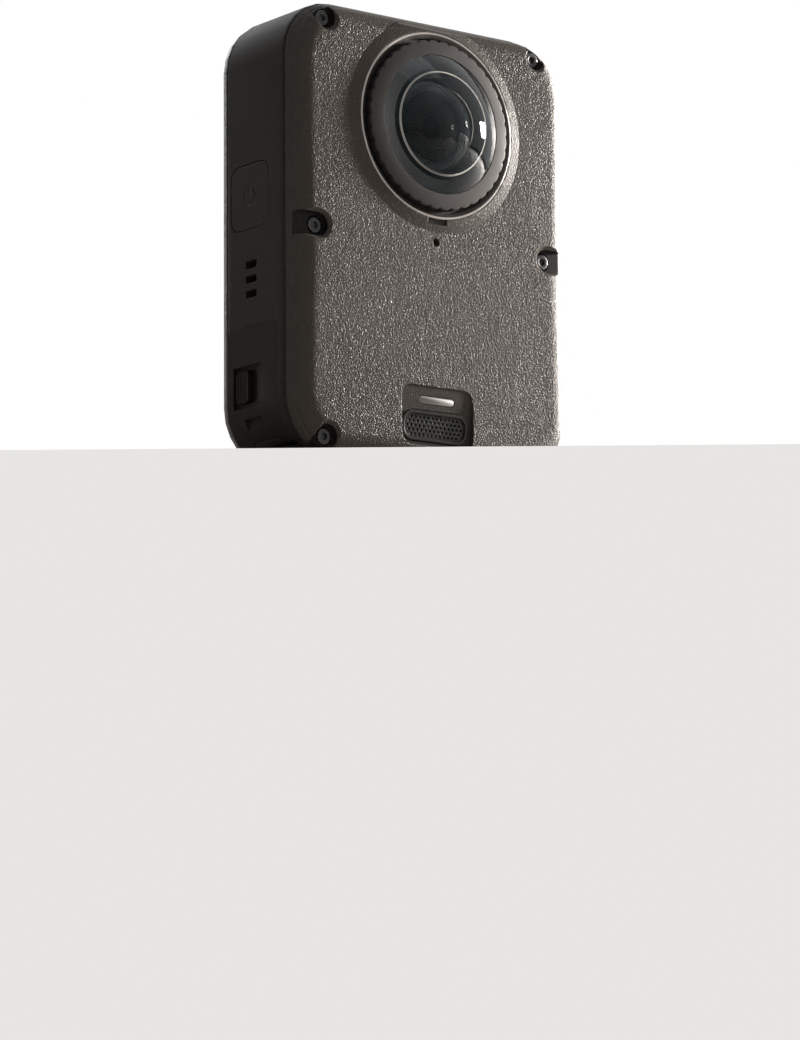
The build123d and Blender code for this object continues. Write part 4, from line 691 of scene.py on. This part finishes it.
pressed_sheet, given, leave = texture_group("pressed sheet", {
    "Color": (0.6, 0.6, 0.6, 1), "Second Color": (0.8, 0.8, 0.8, 1), "Wear": 0.0, "Metallic": 1.0,
    "Roughness": 0.35,
}, ("Color", "Roughness", "Metallic", "Height"))
place = where(pressed_sheet)
drawn = node(pressed_sheet, "VectorMath", {0: place, 1: (1.0, 1.0, 0.06)}, operation="MULTIPLY").outputs[0]
rolled = noise(drawn, 4200.0, 3.0, 0.6)
stain = noise(place, 210.0, 4.0, 0.65)
tone = plus(ranged(rolled, 0.3, 0.7, -0.08, 0.08), ranged(stain, 0.3, 0.7, 0.86, 1.06))
shade = scaled(given["Color"], tone)
send(leave, Color=blended(given["Wear"], shade, given["Second Color"]),
     Roughness=plus(given["Roughness"], ranged(stain, 0.3, 0.7, -0.08, 0.1)),
     Metallic=maths("MAXIMUM", given["Metallic"], given["Wear"]), Height=rolled)

green_board = finish(
    "green circuit board", etched_board, (0.012, 0.075, 0.035), (0.03, 0.16, 0.075), 0.38,
    relief=0.02, edge=0.05, Pitch=900.0)
sheet_metal = finish(
    "satin sheet metal", pressed_sheet, (0.52, 0.52, 0.54), (0.75, 0.75, 0.76), 0.36,
    relief=0.003, edge=0.08)
coated_silicon = finish(
    "coated silicon", turned_metal, (0.035, 0.045, 0.07), (0.2, 0.2, 0.22), 0.12, relief=0.0005,
    edge=0.05, plain={"Coat Weight": 1.0, "Coat Roughness": 0.03}, Lines=2000.0, Metallic=0.5)
dress(coated_silicon, "front_image_sensor", "rear_image_sensor")
dress(green_board, "front_sensor_board", "rear_sensor_board", "main_board", "io_board")
dress(sheet_metal, "lens_bracket", "processor_shield", "card_socket", "usb_socket")


# ---------------------------------------------------------------- buttons and key switches
# Power and quick buttons are moulded caps in the frame's sides, the record button a
# dished round cap in the rear. Each presses a small tact switch inside; the power
# symbol is a shallow cut filled with dark paint.

button_cap = finish(
    "satin button plastic", moulded, (0.017, 0.0142, 0.0125), (0.055, 0.048, 0.044), 0.5,
    relief=0.008, specular=0.05, edge=0.2, Grain=6500.0, Patches=0.2)
symbol_paint = finish(
    "grey symbol paint", moulded, (0.010, 0.010, 0.010), (0.05, 0.05, 0.05), 0.6,
    relief=0.003, edge=0.03, Grain=4000.0, Patches=0.2)
record_cap = finish(
    "record button plastic", moulded, (0.060, 0.056, 0.053), (0.13, 0.12, 0.115), 0.42,
    relief=0.006, specular=0.35, Grain=6500.0, Patches=0.2)
dress(button_cap, "power_button", "quick_switch_button")
dress(sheet_metal, "power_key_switch", "quick_key_switch", "record_key_switch")

symbol_x, symbol_y, symbol_z = -30.40, 1.75, 46.8
symbol_radius, symbol_line, symbol_gap, symbol_steps = 1.8, 0.34, 32.0, 40
line_half = symbol_line / 2 - 0.01


def on_button(across, up):
    """A point of the symbol on the power button's outer face."""
    return symbol_x, symbol_y + across, symbol_z + up


arc = []
for i in range(symbol_steps + 1):
    turn = radians(90 + symbol_gap + (360 - 2 * symbol_gap) * i / symbol_steps)
    arc += [on_button(r * cos(turn), r * sin(turn))
            for r in (symbol_radius - line_half, symbol_radius + line_half)]
arc_faces = [(2 * i, 2 * i + 1, 2 * i + 3, 2 * i + 2) for i in range(symbol_steps)]
bar_low, bar_high = 0.06, symbol_radius + 0.34
bar = [on_button(across, up) for across, up in (
    (-line_half, bar_low), (line_half, bar_low), (line_half, bar_high), (-line_half, bar_high))]
piece("power_symbol_paint", "power_button", [symbol_paint],
      [(arc, arc_faces), (bar, [(0, 1, 2, 3)])])

record_z, record_radius, record_flange, record_flange_top, record_sides = 6.5, 3.6, 4.0, -1.55, 96
record_low, record_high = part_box("record_button")
record_inner, record_outer = record_low.y / MM - face_y, record_high.y / MM - face_y
record_section = [(0.0, record_inner), (record_flange, record_inner), (record_flange, record_flange_top),
                  (record_radius, record_flange_top)]
record_section += [(r, record_outer - below) for r, below in (
    (record_radius, 0.22), (3.55, 0.09), (3.45, 0.02), (3.32, 0.0), (3.0, 0.0), (2.9, 0.02),
    (2.78, 0.10), (2.5, 0.15), (1.7, 0.19), (0.0, 0.2))]
piece("dished_record_button", "record_button", [record_cap],
      [turned(record_section, record_sides, lens_place(1, 0.0, record_z))], ["record_button"])


# ---------------------------------------------------------------- battery door, latch and cell
# The door swings down on a steel pin and is held by a sliding latch with a grained
# finger patch. Behind it a wrapped cell lies in a moulded bay against sprung contacts.

door_plastic = finish(
    "door plastic", moulded, (0.015, 0.0125, 0.011), (0.05, 0.044, 0.040), 0.55,
    relief=0.012, specular=0.04, edge=0.18, Grain=5200.0, Patches=0.25)
latch_grain = finish(
    "grained latch plastic", leathery, (0.011, 0.010, 0.009), (0.03, 0.027, 0.025), 0.6,
    relief=0.03, specular=0.08, Cells=3600.0)
bright_pin = finish(
    "bright pin steel", pressed_sheet, (0.50, 0.50, 0.51), (0.7, 0.7, 0.7), 0.25,
    relief=0.002, edge=0.06)
bay_plastic = finish(
    "bay plastic", moulded, (0.06, 0.06, 0.06), (0.12, 0.12, 0.12), 0.55,
    relief=0.01, specular=0.3, Grain=4200.0, Patches=0.2)
cell_wrap = finish(
    "wrapped cell", moulded, (0.075, 0.078, 0.085), (0.2, 0.2, 0.2), 0.38,
    relief=0.006, edge=0.25, plain={"Coat Weight": 0.25}, Grain=2600.0, Patches=0.3)
gilt_contact = finish(
    "gilt contacts", pressed_sheet, (0.68, 0.47, 0.20), (0.85, 0.68, 0.4), 0.25,
    relief=0.002, edge=0.06)
dress(door_plastic, "battery_door", "battery_door_plate", "port_door")
dress(latch_grain, "battery_latch")
dress(bright_pin, "battery_door_pin", "port_door_pin")
dress(bay_plastic, "battery_bay")
dress(cell_wrap, "battery")
dress(gilt_contact, "battery_contacts")


# ---------------------------------------------------------------- memory card and heat spreader
# The card is a thin black moulding that slides above the battery. A copper sheet draws
# the processor's heat to the frame.

card_plastic = finish(
    "card plastic", moulded, (0.02, 0.02, 0.022), (0.08, 0.08, 0.08), 0.4,
    relief=0.004, specular=0.45, Grain=5000.0, Patches=0.15)
copper_sheet = finish(
    "bare copper sheet", pressed_sheet, (0.62, 0.29, 0.17), (0.85, 0.5, 0.35), 0.33,
    relief=0.003, edge=0.06)
dress(card_plastic, "memory_card")
dress(copper_sheet, "heat_spreader")


# ---------------------------------------------------------------- touch glass and display
# The rear screen: a thin sheet of toughened glass let into the cover over a display
# panel, black when off, with faint finger marks.

marked_glass, given, leave = texture_group("finger marks", {
    "Color": (0.01, 0.01, 0.012, 1), "Second Color": (0.03, 0.03, 0.03, 1), "Roughness": 0.05})
place = where(marked_glass)
smear = ranged(noise(place, 95.0, 5.0, 0.7, 0.8), 0.5, 0.75, 0.0, 1.0)
ridges = node(marked_glass, "TexWave", {"Vector": place, "Scale": 700.0, "Distortion": 6.0}).outputs["Fac"]
mark = times(smear, ranged(ridges, 0.2, 0.8, 0.6, 1.0))
send(leave, Color=blended(mark, given["Color"], given["Second Color"]),
     Roughness=plus(given["Roughness"], times(mark, 0.18)), Height=mark)
screen_glass = finish(
    "black screen glass", marked_glass, (0.006, 0.006, 0.008), (0.016, 0.016, 0.017), 0.05,
    relief=0.0003, specular=0.4)
dress(screen_glass, "touch_glass", "display_panel")


# ---------------------------------------------------------------- status light and speaker grille
# Both lie on the sloping floor of the recess at the foot of the front: a frosted light
# pipe let into the cover, drawn unlit, and a gloss black moulded grille with five
# staggered rows of holes inside a raised rim.

recess_top, recess_foot = (-11.8, 14.1), (-10.7, 3.5)
recess_run, recess_fall = recess_top[1] - recess_foot[1], recess_foot[0] - recess_top[0]
recess_length = sqrt(recess_run ** 2 + recess_fall ** 2)
recess_out = (-recess_run / recess_length, -recess_fall / recess_length)


def recess_place(x, z_on_front, up_floor, height):
    """A point over the recess's sloping floor: across, up from a height on the front, and out."""
    along = (z_on_front - recess_top[1]) * recess_length / recess_run + up_floor
    return (x, recess_top[0] + along * recess_out[1] + height * recess_out[0],
            recess_top[1] - along * recess_out[0] + height * recess_out[1])


def round_outline(width, height, radius, inset, per_corner=10):
    """The outline of a rounded rectangle, drawn in by inset."""
    w, h, r = width / 2 - inset, height / 2 - inset, max(radius - inset, 0.05)
    points = []
    for cx, cy, start in ((w - r, h - r, 0), (r - w, h - r, 90), (r - w, r - h, 180), (w - r, r - h, 270)):
        for i in range(per_corner + 1):
            turn = radians(start + 90 * i / per_corner)
            points.append((cx + r * cos(turn), cy + r * sin(turn)))
    return points


def recess_rings(z_on_front, outline, levels):
    """Rings of a rounded outline over the recess's floor, one for each inset and height."""
    return [[recess_place(x, z_on_front, y, level) for x, y in round_outline(*outline, inset)]
            for inset, level in levels]


frosted_pipe = finish(
    "frosted light pipe", moulded, (0.105, 0.099, 0.093), (0.15, 0.14, 0.13), 0.5, relief=0.006,
    edge=0.1, plain={"Subsurface Weight": 0.2, "Subsurface Scale": 0.5 * MM}, Grain=7000.0, Patches=0.12)
light_z, light_length, light_width, light_stand, light_depth = 11.65, 7.8, 1.33, 0.05, 1.75
light_levels = [(0.0, -light_depth), (0.0, light_stand - 0.1), (0.03, light_stand - 0.04),
                (0.1, light_stand)]
light_rings = recess_rings(light_z, (light_length, light_width, light_width / 2), light_levels)
piece("frosted_light_pipe", "camera_body", [frosted_pipe], [lofted(light_rings, False)],
      ["status_light"])

gloss_black = finish(
    "gloss black grille", moulded, (0.009, 0.0085, 0.008), (0.035, 0.033, 0.031), 0.26,
    relief=0.001, specular=0.25, edge=0.08, Grain=3000.0, Patches=0.1)
grille_z, grille_outline = 7.1, (14.7, 5.4, 2.3)
rim_stand, rim_width, field_drop, grille_back = 0.22, 0.75, 0.12, -0.78
rim_levels = [
    (0.0, grille_back), (0.0, rim_stand - 0.16), (0.05, rim_stand - 0.05), (0.16, rim_stand),
    (rim_width - 0.3, rim_stand), (rim_width - 0.14, rim_stand - 0.05), (rim_width, -field_drop),
    (rim_width, grille_back),
]
grille_rim = lofted(recess_rings(grille_z, grille_outline, rim_levels), True)

hole_rows, hole_columns, hole_pitch, row_pitch, hole_radius, hole_sides = 5, 14, 0.92, 0.76, 0.27, 14
corner_x, corner_y = 5.4, 1.2


def grille_field():
    """The pierced field: a flat outline with round holes, given thickness, as corners and faces."""
    drawn = bpy.data.curves.new("grille field", "CURVE")
    drawn.dimensions = "2D"
    drawn.fill_mode = "BOTH"
    drawn.extrude = (field_drop + grille_back) / -2 - field_drop
    drawn.bevel_depth = 0.035
    drawn.bevel_resolution = 1

    def line(points):
        spline = drawn.splines.new("POLY")
        spline.points.add(len(points) - 1)
        for spot, (x, y) in zip(spline.points, points):
            spot.co = (x, y, 0, 1)
        spline.use_cyclic_u = True

    line(round_outline(*grille_outline, rim_width - 0.02))
    for row in range(hole_rows):
        count = hole_columns - row % 2
        for column in range(count):
            x = (column - (count - 1) / 2) * hole_pitch
            y = (row - (hole_rows - 1) / 2) * row_pitch
            if abs(x) <= corner_x or abs(y) <= corner_y:
                line([(x + hole_radius * cos(2 * pi * i / hole_sides),
                       y + hole_radius * sin(2 * pi * i / hole_sides)) for i in range(hole_sides)])
    holder = bpy.data.objects.new("grille field", drawn)
    flat = bpy.data.meshes.new_from_object(holder)
    middle = (-field_drop + grille_back) / 2
    corners = [recess_place(v.co.x, grille_z, v.co.y, middle + v.co.z) for v in flat.vertices]
    faces = [tuple(polygon.vertices) for polygon in flat.polygons]
    bpy.data.objects.remove(holder)
    bpy.data.meshes.remove(flat)
    bpy.data.curves.remove(drawn)
    return corners, faces


piece("pierced_speaker_grille", "camera_body", [gloss_black], [grille_rim, grille_field()],
      ["speaker_grille"])
dress(bay_plastic, "speaker")
dress(sheet_metal, "front_microphone")


# ---------------------------------------------------------------- vent membrane and tripod insert
# A thin felt-like membrane lets heat and air through the vent slots but no water. The
# tripod insert is a nickel-plated brass thread moulded into the foot of the frame.

membrane_felt = finish(
    "vent membrane", dusty_rubber, (0.010, 0.010, 0.010), (0.05, 0.05, 0.05), 0.95,
    relief=0.02, specular=0.1, Dust=0.3)
nickel_plate = finish(
    "nickel plated brass", pressed_sheet, (0.52, 0.48, 0.42), (0.66, 0.55, 0.36), 0.27,
    relief=0.002, edge=0.08)
dress(membrane_felt, "vent_membrane")

insert_low, insert_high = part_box("tripod_insert")
insert_middle_y = (insert_low.y + insert_high.y) / 2 / MM
insert_top = insert_high.z / MM
thread_radius, insert_pitch, insert_ridge, insert_sides = 3.175, 1.27, 0.45, 64
ridge_foot = thread_radius - insert_ridge
insert_section = [
    (thread_radius + 0.35, 0.0), (5.2, 0.0), (5.3, 0.08), (5.3, 1.0), (4.2, 1.0), (4.2, insert_top),
    (0.0, insert_top), (0.0, insert_top - 0.5), (2.6, insert_top - 0.5),
]
ridge_z = insert_top - 0.6
while ridge_z > insert_pitch:
    insert_section += [
        (thread_radius, ridge_z - 0.1), (ridge_foot, ridge_z - insert_pitch / 2),
        (ridge_foot, ridge_z - insert_pitch / 2 - 0.12), (thread_radius, ridge_z - insert_pitch + 0.02),
    ]
    ridge_z -= insert_pitch
piece("threaded_tripod_insert", "camera_body", [nickel_plate],
      [turned(insert_section, insert_sides, lambda u, v, h: (u, insert_middle_y + v, h))], ["tripod_insert"])


# ---------------------------------------------------------------- studio
# A plain pale floor and plinth, a soft key light low over the front from the right, weak
# rim, top and rear lights, and a long lens below the level of the floor.


def plain_matte(name, colour):
    """A pale matte studio paint with a faint unevenness."""
    made = bpy.data.materials.new(name)
    made.use_nodes = True
    tree = made.node_tree
    shader = tree.nodes["Principled BSDF"]
    shader.inputs["Specular IOR Level"].default_value = 0.1
    uneven = ranged(noise(where(tree), 6.0, 3.0), 0.3, 0.7, 0.985, 1.0)
    tree.links.new(scaled(colour, uneven), shader.inputs["Base Color"])
    tree.links.new(ranged(uneven, 0.985, 1.0, 0.75, 0.9), shader.inputs["Roughness"])
    return made, tree, shader.outputs[0]


def shown_rays(tree):
    """1 for what is seen straight, mirrored or through glass, 0 for light that falls on the object."""
    path = node(tree, "LightPath").outputs
    return maths("MAXIMUM", path["Is Camera Ray"],
                 maths("MAXIMUM", path["Is Glossy Ray"], path["Is Transmission Ray"]))


def surface_mix(share, first, second):
    """Two surfaces mixed by a share."""
    return node(share.id_data, "MixShader", {0: share, 1: first, 2: second}).outputs[0]


def stage_mesh(name, corners, faces, material):
    """A piece of the studio, in metres."""
    mesh = bpy.data.meshes.new(name)
    mesh.from_pydata(corners, [], faces)
    mesh.materials.append(material)
    made = bpy.data.objects.new(name, mesh)
    bpy.context.scene.collection.objects.link(made)


# The plinth shows at its own plain colour. The floor is open from below, and pales far off.
plinth_colour, floor_colour, far_colour = (0.80, 0.785, 0.765), (0.72, 0.70, 0.68), (0.95, 0.945, 0.94)
far_start, far_end = 0.25, 0.9
pale_paint, tree, paint = plain_matte("pale studio paint", plinth_colour)
pale = node(tree, "Emission", {"Color": (*plinth_colour, 1), "Strength": 1.0}).outputs[0]
tree.links.new(surface_mix(shown_rays(tree), paint, pale),
               tree.nodes["Material Output"].inputs["Surface"])
open_below, tree, paint = plain_matte("pale floor open from below", floor_colour)
far_off = times(ranged(length(where(tree)), far_start, far_end, 0.0, 1.0),
                node(tree, "LightPath").outputs["Is Camera Ray"])
pale = node(tree, "Emission", {"Color": (*far_colour, 1), "Strength": 1.0}).outputs[0]
paling = surface_mix(far_off, paint, pale)
clear = node(tree, "BsdfTransparent").outputs[0]
tree.links.new(surface_mix(node(tree, "NewGeometry").outputs["Backfacing"], paling, clear),
               tree.nodes["Material Output"].inputs["Surface"])

floor_half, floor_drop = 3, -0.02 * MM
stage_mesh("pale_floor", [(x * floor_half, y * floor_half, floor_drop)
                          for x, y in ((-1, -1), (1, -1), (1, 1), (-1, 1))], [(0, 1, 2, 3)], open_below)
ahead, aside = Vector((0.6119, 0.79094, 0.0)), Vector((0.79094, -0.6119, 0.0))
plinth_front, plinth_back, plinth_half, plinth_top, plinth_foot = -0.030, 0.5, 0.6, -0.0001, -0.4
plinth = [ahead * s + aside * t + Vector((0, 0, z)) for z in (plinth_foot, plinth_top)
          for s, t in ((plinth_front, -plinth_half), (plinth_front, plinth_half),
                       (plinth_back, plinth_half), (plinth_back, -plinth_half))]
stage_mesh("pale_plinth", plinth, [(0, 1, 5, 4), (1, 2, 6, 5), (2, 3, 7, 6), (3, 0, 4, 7), (4, 5, 6, 7)],
           pale_paint)

for name, place, aim_z, size, watts, colour in (
    ("key_soft_box", (0.93, -0.185, 0.27), 0.045, 0.14, 34.0, (1.0, 0.95, 0.89)),
    ("rim_soft_box", (0.86, 0.30, 0.30), 0.045, 0.2, 10.0, (1.0, 0.94, 0.87)),
    ("top_soft_box", (0.10, -0.30, 0.85), 0.04, 0.5, 1.0, (1.0, 0.98, 0.96)),
    ("rear_soft_box", (0.10, 0.90, 0.50), 0.045, 0.5, 4.5, (0.94, 0.97, 1.0)),
):
    lamp = bpy.data.lights.new(name, "AREA")
    lamp.size, lamp.energy, lamp.color = size, watts, colour
    holder = bpy.data.objects.new(name, lamp)
    holder.location = place
    holder.rotation_mode = "QUATERNION"
    holder.rotation_quaternion = (Vector((0, 0, aim_z)) - Vector(place)).to_track_quat("-Z", "Y")
    bpy.context.scene.collection.objects.link(holder)

world = bpy.data.worlds.new("studio")
bpy.context.scene.world = world
world.use_nodes = True
tree = world.node_tree
soft = tree.nodes["Background"]
soft.inputs["Color"].default_value = (0.97, 0.985, 1.0, 1)
soft.inputs["Strength"].default_value = 0.19
white = node(tree, "Background", {"Color": (1, 1, 1, 1), "Strength": 1.0}).outputs[0]
tree.links.new(surface_mix(shown_rays(tree), soft.outputs[0], white),
               tree.nodes["World Output"].inputs["Surface"])

camera_place = Vector((-0.43808, -0.567195, -0.121268))
camera_right = Vector((0.79164, -0.61094, -0.00754))
camera_up = Vector((-0.08959, -0.12827, 0.98768))
camera_back = Vector((-0.60438, -0.78122, -0.15628))
lens_data = bpy.data.cameras.new("long_lens")
lens_data.lens = 142.23
lens_data.clip_start, lens_data.clip_end = 0.01, 50.0
camera = bpy.data.objects.new("long_lens", lens_data)
axes = Matrix((camera_right, camera_up, camera_back)).transposed().to_4x4()
camera.matrix_world = Matrix.Translation(camera_place) @ axes
bpy.context.scene.collection.objects.link(camera)
bpy.context.scene.camera = camera
bpy.context.scene.view_settings.view_transform = "Standard"
